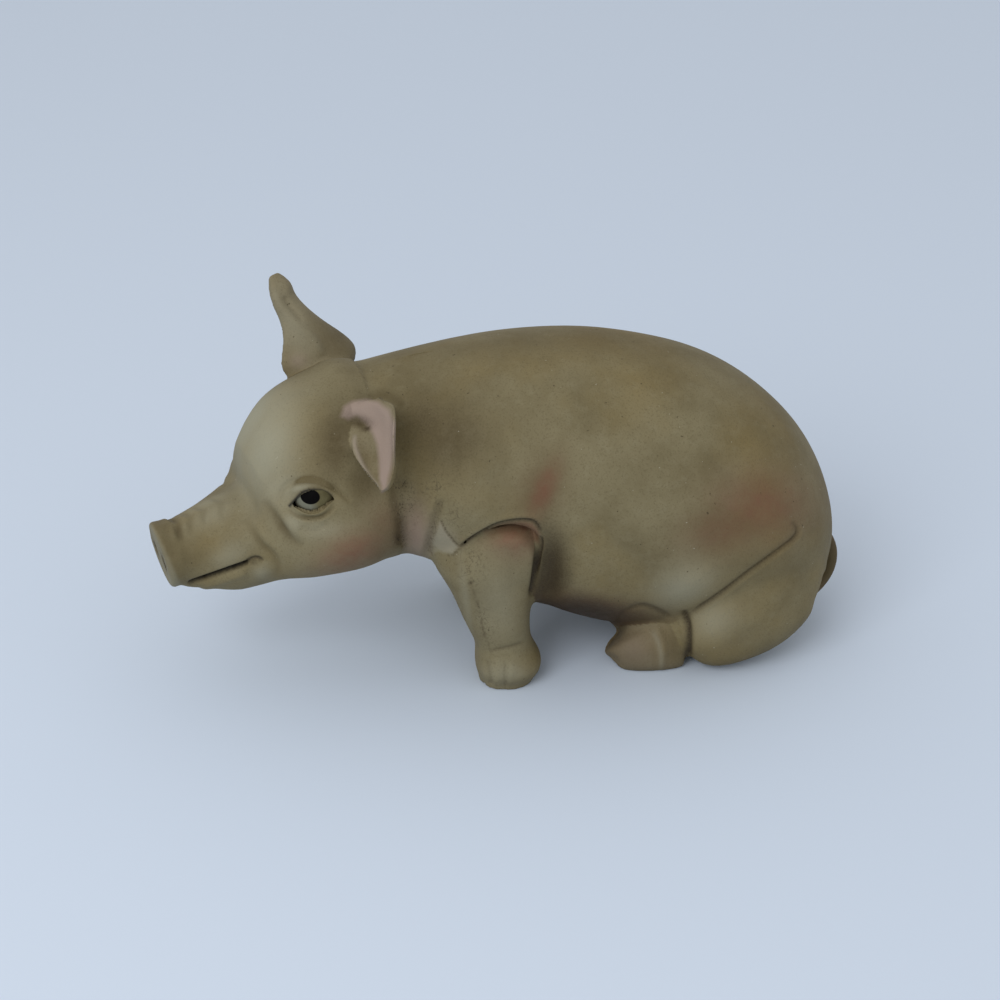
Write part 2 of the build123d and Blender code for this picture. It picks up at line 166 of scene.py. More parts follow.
def colour(red, green, blue):
    """A colour as it looks, 0 to 255, for a shader."""
    return (shader_value(red), shader_value(green), shader_value(blue), 1.0)


def casting(name):
    """A merged working copy of one casting."""
    work = bmesh.new()
    work.from_mesh(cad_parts[name].data)
    bmesh.ops.remove_doubles(work, verts=work.verts, dist=merge_reach * mm)
    work.normal_update()
    return work


def object_from(work, name):
    """A bmesh made into an object of that name."""
    mesh = bpy.data.meshes.new(name)
    work.to_mesh(mesh)
    piece = bpy.data.objects.new(name, mesh)
    bpy.context.scene.collection.objects.link(piece)
    return piece


def joined_castings(grain):
    """All the castings with their joints closed, as one fine even mesh."""
    whole = bmesh.new()
    for name in cast_nodes:
        work = casting(name)
        for vertex in work.verts:
            vertex.co += vertex.normal * joint_swell * mm
        mesh = bpy.data.meshes.new("swollen")
        work.to_mesh(mesh)
        work.free()
        whole.from_mesh(mesh)
        bpy.data.meshes.remove(mesh)
    piece = object_from(whole, "joined")
    whole.free()
    grain_step = piece.modifiers.new("grain", "REMESH")
    grain_step.mode = "VOXEL"
    grain_step.voxel_size = grain * mm
    grain_step.adaptivity = 0.0
    finished = piece.evaluated_get(bpy.context.evaluated_depsgraph_get())
    settled = bpy.data.meshes.new_from_object(finished)
    old = piece.data
    piece.modifiers.clear()
    piece.data = settled
    bpy.data.meshes.remove(old)
    return piece


def places_of(mesh):
    """The vertex places of a mesh in millimetres."""
    flat = np.zeros(len(mesh.vertices) * 3, np.float32)
    mesh.vertices.foreach_get("co", flat)
    return flat.reshape(-1, 3).astype(float) / mm


def set_places(mesh, places):
    """Puts the vertices at places in millimetres."""
    mesh.vertices.foreach_set("co", (places * mm).astype(np.float32).ravel())
    mesh.update()


def normals_of(mesh):
    """The vertex normals of a mesh."""
    flat = np.zeros(len(mesh.vertices) * 3, np.float32)
    mesh.vertex_normals.foreach_get("vector", flat)
    return flat.reshape(-1, 3).astype(float)


def edges_of(mesh):
    """The two vertices of every edge."""
    flat = np.zeros(len(mesh.edges) * 2, np.int32)
    mesh.edges.foreach_get("vertices", flat)
    return flat.reshape(-1, 2)


def relax(places, edges, weight, rounds):
    """Moves each vertex towards the middle of its neighbours, as far as its weight says."""
    places = places.copy()
    ends = np.concatenate((edges[:, 0], edges[:, 1]))
    others = np.concatenate((edges[:, 1], edges[:, 0]))
    moving = weight[ends] > 0
    active, ends = np.unique(ends[moving], return_inverse=True)
    others = others[moving]
    degree = np.bincount(ends)
    share = weight[active][:, None]
    for _ in range(rounds):
        middle = np.stack([np.bincount(ends, column[others]) / degree for column in places.T], 1)
        places[active] += (middle - places[active]) * share
    return places


def nearest_castings(places):
    """For each place, the casting it belongs to and the distance to every casting."""
    distance = np.full((len(places), len(cast_nodes)), nothing_near)
    for column, name in enumerate(cast_nodes):
        work = casting(name)
        tree = BVHTree.FromBMesh(work)
        work.free()
        low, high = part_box(name)
        above = places > np.array(low) / mm - search_reach
        below = places < np.array(high) / mm + search_reach
        for number in np.flatnonzero(np.all(above & below, axis=1)):
            gap = tree.find_nearest(Vector(places[number] * mm), search_reach * mm)[3]
            if gap is not None:
                distance[number, column] = gap / mm
    return distance.argmin(1), distance


def absorb_crumbs(label, pairs):
    """Gives each loose crumb of a label to the label round it."""
    same = label[pairs[:, 0]] == label[pairs[:, 1]]
    group = np.arange(len(label))
    first, second = pairs[same].T
    while True:
        low = np.minimum(group[first], group[second])
        wider = group.copy()
        np.minimum.at(wider, first, low)
        np.minimum.at(wider, second, low)
        wider = wider[wider]
        if np.array_equal(wider, group):
            break
        group = wider
    crumb = np.ones(len(label), bool)
    for column in np.unique(label):
        own = label == column
        crumb[own & (group == np.bincount(group[own]).argmax())] = False
    left_over = len(label)
    while crumb.sum() < left_over:
        left_over = crumb.sum()
        for one, other in (pairs.T, pairs[:, ::-1].T):
            takes = crumb[one] & ~crumb[other]
            label[one[takes]] = label[other[takes]]
            crumb[one[takes]] = False
    return label


def even_labels(label, distance, edges):
    """The castings' borders smoothed."""
    distance = relax(distance, edges, half_way * np.ones(len(label)), border_rounds)
    known = distance.min(1) < nothing_near_from
    return absorb_crumbs(np.where(known, distance.argmin(1), label), edges)


def neighbour_faces(mesh):
    """The two faces at every edge."""
    edge = np.zeros(len(mesh.loops), np.int32)
    mesh.loops.foreach_get("edge_index", edge)
    total = np.zeros(len(mesh.polygons), np.int32)
    mesh.polygons.foreach_get("loop_total", total)
    face = np.repeat(np.arange(len(total)), total)
    order = np.argsort(edge, kind="stable")
    shared = np.flatnonzero(edge[order][1:] == edge[order][:-1])
    return np.stack((face[order[shared]], face[order[shared + 1]]), 1)


def in_picture(places):
    """Where each place falls in the picture, in pixels across and down."""
    offset = places - camera_place
    depth = -(offset @ to_camera)
    across = picture_middle + picture_scale * (offset @ camera_right) / depth
    down = picture_middle - picture_scale * (offset @ camera_up) / depth
    return np.stack((across, down), 1)


def on_near_side(vectors, turned, start):
    """Places moved from the far side to the near one; turned ones go by the head's own middle."""
    plain = vectors.copy()
    plain[:, 1] = -np.abs(plain[:, 1])
    offset = vectors - start
    side = offset @ head_left
    flipped = vectors + np.outer(np.abs(side) - side, head_left)
    return np.where(turned[:, None], flipped, plain)


def mirrored(vectors, turned):
    """Directions turned over to the other side; turned ones go by the head's own middle."""
    plain = vectors * np.array((1.0, -1.0, 1.0))
    side = vectors @ head_left
    flipped = vectors - 2 * np.outer(side, head_left)
    return np.where(turned[:, None], flipped, plain)


def smooth_line(points):
    """A line through points, rounded at each."""
    points = [np.array(p, float) for p in points]
    if len(points) < 3:
        return points
    ends = [2 * points[0] - points[1]] + points + [2 * points[-1] - points[-2]]
    line = []
    for a, b, c, d in zip(ends, ends[1:], ends[2:], ends[3:]):
        for number in range(line_steps):
            t = number / line_steps
            bend = (2 * a - 5 * b + 4 * c - d) * t ** 2
            twist = (3 * b - a - 3 * c + d) * t ** 3
            line.append(0.5 * (2 * b + (c - a) * t + bend + twist))
    return line + [points[-1]]


def from_line(spots, line):
    """The distance of each spot from a line, how far along it, and on which side."""
    distance = np.full(len(spots), 1e9)
    along = np.zeros(len(spots))
    hand = np.zeros(len(spots))
    lengths = [np.linalg.norm(b - a) for a, b in zip(line, line[1:])]
    total = sum(lengths)
    walked = 0.0
    for a, b, length in zip(line, line[1:], lengths):
        step = b - a
        offset = spots - a
        t = np.clip(offset @ step / max(length ** 2, 1e-9), 0, 1)
        gap = np.linalg.norm(offset - np.outer(t, step), axis=1)
        better = gap < distance
        distance[better] = gap[better]
        along[better] = (walked + t[better] * length) / total
        hand[better] = np.sign(step[0] * offset[better, 1] - step[1] * offset[better, 0])
        walked += length
    return distance, along, hand


def rising(value, start, reach):
    """0 up to start, and 1 from a reach beyond it."""
    return np.clip((value - start) / reach, 0, 1)


def falling(value, end, reach):
    """1 up to a reach before the end, and 0 from there."""
    return np.clip((end - value) / reach, 0, 1)


class Skin:
    """One even mesh being worked, with the paint on it."""

    # The paint layers also hold painted light. Brown, the crease darkening and the near black are largely
    # painted shade in creases, recesses and under the figure. Pale is largely painted highlight on forms
    # that face the lamp. Cracks, crumbs and seams take the crease darkening as their own colour.
    paints = ("blush", "brown", "pale", "grime_and_shade", "rosy", "crackle", "deep_shade")

    def __init__(self, grain, keep):
        self.grain = grain
        self.piece = joined_castings(grain)
        mesh = self.piece.data
        self.places = places_of(mesh) - normals_of(mesh) * joint_swell
        self.edges = edges_of(mesh)
        self.kept = keep(self.places)
        self.label = np.zeros(len(self.places), int)
        self.distance = np.full((len(self.places), len(cast_nodes)), nothing_near)
        self.label[self.kept], self.distance[self.kept] = nearest_castings(self.places[self.kept])
        self.label = even_labels(self.label, self.distance, self.edges)
        ranked = np.sort(self.distance, axis=1)
        joint = np.clip(joint_weight - (ranked[:, 1] - ranked[:, 0]) / joint_reach, 0, 1)
        collar = self.distance[:, [cast_nodes.index("trunk"), cast_nodes.index("head")]].max(1)
        neck = np.clip(neck_weight - collar / neck_reach, 0, 1)
        self.smooth(np.ones(len(self.places)), first_rounds)
        self.smooth(joint, round(joint_blend / grain ** 2))
        self.smooth(neck, round(neck_blend / grain ** 2))
        self.settle()
        self.paint = {name: np.zeros(len(self.places)) for name in self.paints}

    def smooth(self, weight, rounds):
        """Moves each vertex half way to the middle of its neighbours in each round, times its weight."""
        self.places = relax(self.places, self.edges, half_way * weight, rounds)

    def settle(self):
        """Reads the surface again after it has moved."""
        set_places(self.piece.data, self.places)
        self.normals = normals_of(self.piece.data)
        self.turned = self.on(head_nodes)
        near = on_near_side(self.places, self.turned, head_middle)
        across_head = (self.places - head_middle) @ head_left
        self.far = np.where(self.turned, across_head < 0, self.places[:, 1] > 0)
        self.far &= ~self.on(far_ear)
        near = np.where(self.far[:, None], near, self.places)
        facing = np.where(self.far[:, None], mirrored(self.normals, self.turned), self.normals)
        self.spots = in_picture(near)
        self.facing = facing @ to_camera

    def on(self, nodes):
        """Which vertices belong to some castings."""
        return np.isin(self.label, [cast_nodes.index(name) for name in nodes])

    def where(self, nodes, side, margin):
        """Which vertices of some castings a tool may touch: those that face the camera."""
        allowed = self.on(nodes) & self.kept & (self.facing > margin)
        if side == "near":
            allowed &= ~self.far
        return allowed

    def bell(self, middle, size, turn, allowed):
        """A strength that is 1 at a spot in the picture and fades over its half sizes, turned in degrees."""
        offset = self.spots - np.array(middle, float)
        c = math.cos(math.radians(turn))
        s = math.sin(math.radians(turn))
        across = (offset[:, 0] * c + offset[:, 1] * s) / size[0]
        down = (offset[:, 1] * c - offset[:, 0] * s) / size[1]
        strength = np.exp(-(across ** 2 + down ** 2)) * allowed
        strength[strength < faintest] = 0
        return strength

    def spray(self, paint, strength, chosen=slice(None)):
        """Lays each paint on the chosen vertices, by its amount times the strength."""
        for name, amount in paint.items():
            self.paint[name][chosen] = np.maximum(self.paint[name][chosen], amount * strength)

    def follow(self, table, nodes):
        """Works through a table of smoothings, pulls, patches, strokes and mounds."""
        for row in table.values():
            values = {"nodes": nodes, **row}
            if "rounds" in row:
                self.ease(**values)
            elif "shift" in row:
                self.grab(**values)
            elif "corners" in row:
                self.patch(**values)
            elif "points" in row:
                self.stroke(**values)
            else:
                self.mound(**values)

    def stroke(self, points, width, depth, nodes, side="both", lip=0.0, ends=0.12, broken=0.0, **paint):
        """A groove, or a ridge where depth is negative, along a line in the picture, with its own paint."""
        line = smooth_line(points)
        allowed = self.where(nodes, side, stroke_facing)
        low = np.min(line, axis=0) - line_reach * width
        high = np.max(line, axis=0) + line_reach * width
        chosen = np.flatnonzero(allowed & np.all((self.spots > low) & (self.spots < high), axis=1))
        if len(chosen) == 0:
            return
        distance, along, hand = from_line(self.spots[chosen], line)
        fade = np.clip(np.minimum(along, 1 - along) / ends, 0, 1) ** line_end_power
        waves = np.sin(along * break_waves[0]) * np.cos(along * break_waves[1] + break_start)
        fade = fade * np.clip(1 - broken * (0.5 + 0.5 * waves), 0, 1)
        groove = np.exp(-(distance / width) ** 2) * fade
        side_lip = np.exp(-((distance - lip_distance * width) / width) ** 2) * fade * (hand == np.sign(lip))
        move = -depth * groove + abs(lip) * side_lip
        self.places[chosen] += self.normals[chosen] * move[:, None]
        self.spray(paint, groove, chosen)

    def mound(self, middle, size, nodes, height=0.0, side="both", turn=0.0, **paint):
        """A soft rise or hollow round a spot in the picture, with its own paint."""
        strength = self.bell(middle, size, turn, self.where(nodes, side, mound_facing))
        self.places += self.normals * (height * strength)[:, None]
        self.spray(paint, strength)

    def grab(self, middle, size, shift, nodes, side="both", back=0.0):
        """Pulls the skin round a spot by a shift in the picture, and back from the camera in mm."""
        strength = self.bell(middle, size, 0.0, self.where(nodes, side, any_facing))
        in_plane = shift[0] * camera_right - shift[1] * camera_up
        pull = in_plane * camera_distance / picture_scale - back * to_camera
        pulls = np.outer(strength, pull)
        self.places += np.where(self.far[:, None], mirrored(pulls, self.turned), pulls)

    def ease(self, points, width, rounds, nodes):
        """Smooths the skin along a line in the picture."""
        distance = from_line(self.spots, smooth_line(points))[0]
        weight = np.exp(-(distance / width) ** 2) * self.where(nodes, "both", any_facing)
        weight[weight < faintest_smoothing] = 0
        self.smooth(weight, round(rounds / self.grain ** 2))
        self.settle()

    def blend(self, piece, carrier, rounds):
        """Smooths the seam between two castings of both sides."""
        for hand in ("left_", "right_"):
            other = carrier if carrier in cast_nodes else hand + carrier
            pair = [cast_nodes.index(hand + piece), cast_nodes.index(other)]
            seam = np.clip(seam_weight - self.distance[:, pair].max(1) / seam_reach, 0, 1)
            self.smooth(seam, round(rounds / self.grain ** 2))
        self.settle()

    def patch(self, corners, edge, nodes, side="both", **paint):
        """Paint inside a shape with corners in the picture, soft over edge pixels."""
        corners = [np.array(p, float) for p in corners]
        distance = from_line(self.spots, corners + corners[:1])[0]
        inside = np.zeros(len(self.spots), bool)
        for a, b in zip(corners, corners[1:] + corners[:1]):
            crosses = (a[1] > self.spots[:, 1]) != (b[1] > self.spots[:, 1])
            with np.errstate(divide="ignore", invalid="ignore"):
                crossing = a[0] + (self.spots[:, 1] - a[1]) * (b[0] - a[0]) / (b[1] - a[1])
            inside ^= crosses & (self.spots[:, 0] < crossing)
        soft_edge = np.clip(0.5 + np.where(inside, distance, -distance) / edge, 0, 1)
        self.spray(paint, soft_edge * self.where(nodes, side, patch_facing))

    def wash(self, name, strength):
        """Adds a paint worked out for every vertex."""
        self.spray({name: 1.0}, np.clip(strength, 0, 1))

    def write_paint(self):
        """Keeps each paint as an attribute of the mesh."""
        mesh = self.piece.data
        for name, values in self.paint.items():
            layer = mesh.attributes.new(name, "FLOAT", "POINT")
            layer.data.foreach_set("value", np.clip(values, 0, 1).astype(np.float32))
        lie = mesh.attributes.new("lie", "FLOAT_VECTOR", "POINT")
        lie.data.foreach_set("vector", self.normals.astype(np.float32).ravel())

    def part(self, own):
        """Splits the mesh into one closed piece for each casting in own."""
        mesh = self.piece.data
        label = self.label.copy()
        columns = [cast_nodes.index(name) for name in own]
        others = [i for i in range(len(cast_nodes)) if i not in columns]
        own_distance = self.distance[:, columns]
        near_own = np.isin(label, others) & (own_distance.min(1) < overlap_reach)
        label[near_own] = np.array(columns)[own_distance[near_own].argmin(1)]
        label[~self.kept] = len(cast_nodes)
        label[np.isin(label, others)] = len(cast_nodes)
        corners = np.zeros(len(mesh.loops), np.int32)
        mesh.loops.foreach_get("vertex_index", corners)
        starts = np.zeros(len(mesh.polygons), np.int32)
        mesh.polygons.foreach_get("loop_start", starts)
        first, second, third = (label[corners[starts + turn]] for turn in range(3))
        face_label = absorb_crumbs(np.where(second == third, second, first), neighbour_faces(mesh))
        pieces = {}
        for column in columns:
            work = bmesh.new()
            work.from_mesh(mesh)
            work.faces.ensure_lookup_table()
            drop = [work.faces[i] for i in np.flatnonzero(face_label != column)]
            bmesh.ops.delete(work, geom=drop, context="FACES")
            close_inward(work)
            name = cast_nodes[column]
            pieces[name] = object_from(work, name + "_skin")
            work.free()
            own_mesh = pieces[name].data
            own_mesh.polygons.foreach_set("use_smooth", [True] * len(own_mesh.polygons))
            lie = np.zeros(len(own_mesh.vertices) * 3, np.float32)
            own_mesh.attributes["lie"].data.foreach_get("vector", lie)
            own_mesh.attributes.remove(own_mesh.attributes["lie"])
            own_mesh.normals_split_custom_set_from_vertices([Vector(v) for v in lie.reshape(-1, 3)])
        bpy.data.objects.remove(self.piece)
        return pieces


def close_inward(work):
    """Turns every open border of a piece inward and fills it."""
    borders = [edge for edge in work.edges if edge.is_boundary]
    if not borders:
        return
    lies = work.verts.layers.float_vector["lie"]
    lip = bmesh.ops.extrude_edge_only(work, edges=borders)["geom"]
    for vertex in [item for item in lip if isinstance(item, bmesh.types.BMVert)]:
        vertex.co -= vertex[lies] * cap_depth * mm
    inner_edges = [item for item in lip if isinstance(item, bmesh.types.BMEdge) and item.is_boundary]
    caps = bmesh.ops.holes_fill(work, edges=inner_edges, sides=0)["faces"]
    bmesh.ops.triangulate(work, faces=caps)
    bmesh.ops.recalc_face_normals(work, faces=work.faces)


# Eyes: the middle of each ball in mm from the neck joint, and the room that the lids keep round it
eye_ahead = 27.0
eye_side = 26.6
eye_rise = 13.0
eye_middles = [
    head_middle + eye_ahead * head_ahead + hand * eye_side * head_left + eye_rise * head_up
    for hand in (1, -1)
]
lid_drop = 1.9
lid_clearance = 8.85
ball_inside = 7.6
eye_spot = np.array((312.0, 498.0))
lid_region = 26

# In the tables, places, sizes and widths are in picture pixels, and heights, depths and back in mm
lid_pulls = {
    "inner corner of the eye": dict(middle=(295, 503), size=(7, 5), shift=(-2.5, 1.5)),
    "outer corner of the eye": dict(middle=(334, 494), size=(8, 6), shift=(0, 4)),
    "lower lid": dict(middle=(309, 511), size=(14, 5), shift=(0, 1.5)),
}

ear_pulls = {
    "raised ear": dict(middle=(293, 300), size=(26, 26), shift=(-6, 1)),
    "tip of the raised ear": dict(middle=(281, 268), size=(22, 14), shift=(-2, 2.5)),
    "heel of the raised ear": dict(middle=(352, 352), size=(14, 16), shift=(7, 0)),
    "corner of the heel": dict(middle=(357, 354), size=(8, 9), shift=(-4, 1)),
    "waist of the raised ear": dict(middle=(289, 286), size=(8, 10), shift=(3, 0)),
    "nape": dict(middle=(405, 352), size=(52, 14), shift=(0, -3), nodes=neck),
    "fold of the drooping ear": dict(
        middle=(379, 392), size=(16, 9), shift=(0, 6), nodes=near_ear + face, side="near",
    ),
    "front edge of the drooping ear": dict(
        middle=(343, 434), size=(10, 18), shift=(8, 1), nodes=near_ear + face, side="near",
    ),
    "back edge of the drooping ear": dict(
        middle=(406, 435), size=(10, 44), shift=(-9, 0), nodes=near_ear, side="near",
    ),
    "tip of the drooping ear": dict(
        middle=(388, 490), size=(8, 12), shift=(-4, 2), nodes=near_ear, side="near",
    ),
}

# Profile of the head: mm ahead of the neck joint, and the move there in mm
bridge_line = (
    (18, 1.3), (24, 1.0), (30, 1.0), (36, 1.6), (41.5, 1.2), (44.5, -1.2), (47.5, -3.7), (50.5, -4.2),
    (55, -3.4), (60, -2.6), (66, -2.0), (72, -1.8), (76, -1.8), (80, -0.6), (82, 0.0),
)
jaw_line = ((24, 0.0), (32, 0.8), (40, 1.6), (50, 0.6), (62, -1.1), (70, -1.5), (76, -1.0), (80, 0.0))
forehead_line = ((34, 0.0), (41, 0.8), (45, 0.0), (49, -1.8), (53, -1.6), (58, -0.6), (64, 0.0))

# Fades over the head in mm: where one starts or ends, and its reach
crown_fade = (3, 8)
crown_side_fade = (24, 12)
jaw_fade = (-3, 8)
jaw_side_fade = (26, 12)
dish_middle = 54
dish_reach = 7
dish_weight = 1.5
dish_rounds = 9
lean_fade = (70, 8)
lean_rise_fade = (10, 22)
snout_lean = 2.4
disc_fade = (68, 6)
disc_edge = 74.5
disc_edge_reach = 4
disc_edge_rounds = 16


def lower_lids(skin):
    """Draws the lids and the skin round them down over the eyeballs, and keeps them clear of the balls."""
    near = np.exp(-(np.linalg.norm(skin.spots - eye_spot, axis=1) / lid_region) ** 2)
    near = near * skin.on(face) * (skin.facing > mound_facing)
    skin.places -= np.outer(near * lid_drop, head_up)
    skin.settle()
    skin.follow(lid_pulls, face)
    skin.settle()
    for middle in eye_middles:
        offset = skin.places - middle
        reach = np.linalg.norm(offset, axis=1)
        inside = (reach < lid_clearance) & (reach > ball_inside)
        skin.places[inside] = middle + offset[inside] * (lid_clearance / reach[inside])[:, None]
    skin.settle()


def reshape_head(skin):
    """The dish of the snout, the bulge of the forehead, the chin and throat, and the set of the ears."""
    offset = skin.places - head_middle
    ahead = offset @ head_ahead
    rise = offset @ head_up
    lateral = np.abs(offset @ head_left)
    on_head = skin.on(face)
    top = rising(rise, *crown_fade) * falling(lateral, *crown_side_fade) * on_head
    under = falling(rise, *jaw_fade) * falling(lateral, *jaw_side_fade) * on_head
    bridge = np.interp(ahead, *zip(*bridge_line))
    jaw = np.interp(ahead, *zip(*jaw_line))
    forehead = np.interp(ahead, *zip(*forehead_line))
    skin.places += np.outer(top * bridge + under * jaw, head_up)
    skin.places += np.outer(top * forehead, head_ahead)
    dish = top * np.clip(dish_weight - np.abs(ahead - dish_middle) / dish_reach, 0, 1)
    skin.smooth(dish, round(dish_rounds / skin.grain ** 2))
    lean = rising(ahead, *lean_fade) * falling(rise, *lean_rise_fade) * on_head
    skin.places += np.outer(snout_lean * lean, head_ahead)
    skin.settle()
    near_edge = np.clip(1 - np.abs(ahead - disc_edge) / disc_edge_reach, 0, 1)
    skin.smooth(near_edge * (rising(ahead, *disc_fade) * on_head), disc_edge_rounds)
    skin.settle()
    skin.follow(ear_pulls, far_ear)
    skin.settle()
    skin.blend("ear", "head", ear_blend)


haunch_line = [
    (688, 618), (694, 612), (720, 595), (750, 572), (780, 550), (795, 538), (798, 530), (792, 521),
]
limb_pulls = {
    "corner of the chest": dict(middle=(438, 556), size=(20, 20), shift=(-6, -5), nodes=legs + torso),
    "front of the leg": dict(middle=(470, 600), size=(14, 40), shift=(-2.5, 0)),
    "front trotter": dict(middle=(508, 672), size=(60, 30), shift=(-2.5, 0)),
    "skin behind the leg": dict(middle=(550, 570), size=(10, 42), shift=(-1, 0), nodes=torso, back=3.2),
    "top of the hind toe": dict(middle=(607, 630), size=(12, 14), shift=(7, 3), nodes=feet),
    "underside of the hind toe": dict(middle=(608, 664), size=(10, 9), shift=(4, -4), nodes=feet),
    "tip of the hind toe": dict(middle=(602, 650), size=(7, 7), shift=(-2, 1), nodes=feet),
    "back of the leg top": dict(middle=(532, 558), size=(11, 28), shift=(5, 0)),
    "crown of the leg": dict(middle=(510, 538), size=(28, 15), height=3.4),
    "back of the crown": dict(middle=(528, 560), size=(12, 26), height=2.0),
    "recess behind the leg": dict(middle=(541, 575), size=(9, 34), shift=(0, 0), nodes=torso, back=2.6),
    "rump under the tail": dict(middle=(820, 573), size=(10, 11), shift=(4, 0), nodes=hind),
    "back of the thigh": dict(middle=(823, 603), size=(10, 14), shift=(-4, -1), nodes=hind),
    "corner behind the leg": dict(middle=(537, 612), size=(9, 26), shift=(-4.5, 0), nodes=legs + torso),
}

shoulder_shelf = {
    "shelf round the leg top": dict(
        points=[
            (468, 545), (480, 537), (495, 528.5), (510, 525), (524, 524.5), (533, 527), (538, 535),
            (540, 548),
        ],
        width=4.5, depth=1.7, ends=0.1,
    ),
}

leg_top_pull = {
    "leg top drawn out": dict(middle=(512, 535), size=(26, 11), shift=(0, -1), back=-1.4),
}

rim_smoothing = {
    "rim over the leg": dict(
        points=[
            (474, 543), (481, 538), (493, 533), (506, 529.5), (519, 528.4), (530, 530), (534, 536),
            (536, 543),
        ],
        width=8.0, rounds=50,
    ),
    "front end of the rim": dict(points=[(456, 550), (463, 545), (472, 539)], width=5.0, rounds=12),
    "back of the rim": dict(
        points=[(537, 545), (537, 560), (535, 580), (532, 595)], width=4.0, rounds=20,
    ),
}

# Swellings; the pale on the stifle and the front of the thigh is painted highlight on forms that face the
# lamp
body_swells = {
    "stifle": dict(middle=(684, 585), size=(34, 20), height=1.5, turn=-25, pale=0.45),
    "front of the thigh": dict(middle=(712, 620), size=(26, 22), height=0.8, turn=-20, pale=0.4),
    "thigh": dict(middle=(775, 590), size=(30, 26), height=0.6),
    "shoulder": dict(middle=(498, 503), size=(34, 14), height=0.8, nodes=torso, turn=-22),
}

# Folds of the trunk, legs and feet. The darkening and brown along the creases, grooves and joints, in the
# hollow behind the leg and round the hind foot is painted shade. Along the cracks down the leg it is the
# cracks' own colour. The pale on the toe ridges and the ridge of the hind foot is painted highlight.
body_folds = {
    "broad crease of the haunch": dict(points=haunch_line, width=4.5, depth=0.5, nodes=hind, brown=0.35),
    "sharp crease of the haunch": dict(
        points=haunch_line, width=1.9, depth=0.8, nodes=hind, lip=0.3, grime_and_shade=0.75,
    ),
    "joint of foot and shank": dict(
        points=[(684, 610), (688, 630), (688, 660)], width=3.4, depth=1.4,
        nodes=haunches + feet + torso, grime_and_shade=0.95, deep_shade=0.3,
    ),
    "shade below the shoulder's lip": dict(
        points=[
            (468, 545), (483, 536), (497, 529.5), (510, 526), (522, 525), (531, 526), (535, 532),
            (537, 539),
        ],
        width=4.5, depth=0.5, nodes=legs + torso, brown=0.3, ends=0.25,
    ),
    "lip of the shoulder": dict(
        points=[
            (459.7, 547.8), (469.7, 539.5), (482.9, 531.2), (496.2, 524.6), (509.5, 521.3),
            (522.7, 520.1), (532.7, 521.3), (538, 526.2), (541, 534.5),
        ],
        width=1.9, depth=0.8, nodes=legs + torso, lip=-0.7, grime_and_shade=1.0, deep_shade=0.25, ends=0.06,
    ),
    "back edge of the leg": dict(
        points=[(540.5, 536), (540, 546), (538, 556), (536.5, 566), (534.5, 580), (531.5, 597)],
        width=2.6, depth=1.6, nodes=legs + torso, grime_and_shade=1.0, deep_shade=0.35, ends=0.1,
    ),
    "hollow behind the leg": dict(middle=(551, 568), size=(11, 26), height=-1.6, nodes=torso),
    "crease of the fetlock": dict(
        points=[(490, 651), (500, 649), (512, 646.5), (524, 642)], width=1.5, depth=0.5, grime_and_shade=0.55,
        broken=0.3,
    ),
    "front ridge of the toes": dict(
        points=[(499, 655), (498, 672), (497, 688)], width=2.6, depth=-0.35, pale=0.22, ends=0.3,
    ),
    "back ridge of the toes": dict(
        points=[(512, 655), (512, 670), (511, 688)], width=2.6, depth=-0.3, pale=0.12, ends=0.3,
    ),
    "cleft of the toes": dict(
        points=[(505, 662), (505.5, 676), (505, 690)], width=1.2, depth=0.5, grime_and_shade=0.5, ends=0.2,
    ),
    "crease beside the toes": dict(
        points=[(487, 660), (489, 672), (491, 684)], width=2.0, depth=0.35, grime_and_shade=0.25, ends=0.05,
    ),
    "cracks down the leg": dict(
        points=[
            (469, 580), (472, 586), (476, 600), (480, 612), (482, 622), (484, 634), (489, 645),
            (491, 655),
        ],
        width=0.9, depth=0.15, side="near", grime_and_shade=0.95, broken=0.9,
    ),
    "pit in the cracks": dict(middle=(470.5, 583), size=(1.8, 2.2), height=-0.2, side="near", grime_and_shade=0.9),
    "top fold of the hind foot": dict(
        points=[(603, 649), (614, 634), (628, 621), (642, 611)], width=4.0, depth=0.9, nodes=feet,
        grime_and_shade=0.6, brown=0.6,
    ),
    "ridge of the hind foot": dict(
        points=[(648, 616), (658, 630), (663, 648), (661, 670)], width=4.0, depth=-0.8, nodes=feet,
        ends=0.3,
    ),
    "light on that ridge": dict(
        points=[(652, 630), (658, 642), (661, 656), (661, 672)], width=2.4, depth=0, nodes=feet,
        pale=0.3, ends=0.2,
    ),
    "side of the hind foot": dict(middle=(632, 648), size=(24, 18), nodes=feet, rosy=0.25, brown=0.35),
    "front of the hind foot": dict(middle=(618, 630), size=(14, 10), nodes=feet, grime_and_shade=0.3),
    "root of the hind foot": dict(middle=(674, 640), size=(8, 26), nodes=feet, brown=0.6),
    "swell of the hind foot": dict(
        points=[(612, 650), (630, 641), (646, 632)], width=4.0, depth=-0.4, nodes=feet,
    ),
    "hind foot under the belly": dict(
        points=[(617, 621), (629, 610), (643, 606), (656, 610), (672, 618)], width=3.0, depth=0.8,
        nodes=feet + torso, grime_and_shade=0.6, brown=0.5,
    ),
}


def carve_body(skin):
    """The folds and swellings of the trunk, legs and feet."""
    skin.follow(limb_pulls, legs)
    skin.settle()
    skin.blend("front_leg", "trunk", front_leg_blend)
    skin.follow(shoulder_shelf, torso)
    skin.settle()
    skin.follow(leg_top_pull, legs)
    skin.settle()
    skin.follow(rim_smoothing, legs + torso)
    skin.blend("hind_leg", "trunk", hind_leg_blend)
    skin.blend("hind_foot", "trunk", foot_blend)
    skin.blend("hind_foot", "hind_leg", ankle_blend)
    skin.follow(body_swells, hind)
    skin.settle()
    skin.follow(body_folds, legs)
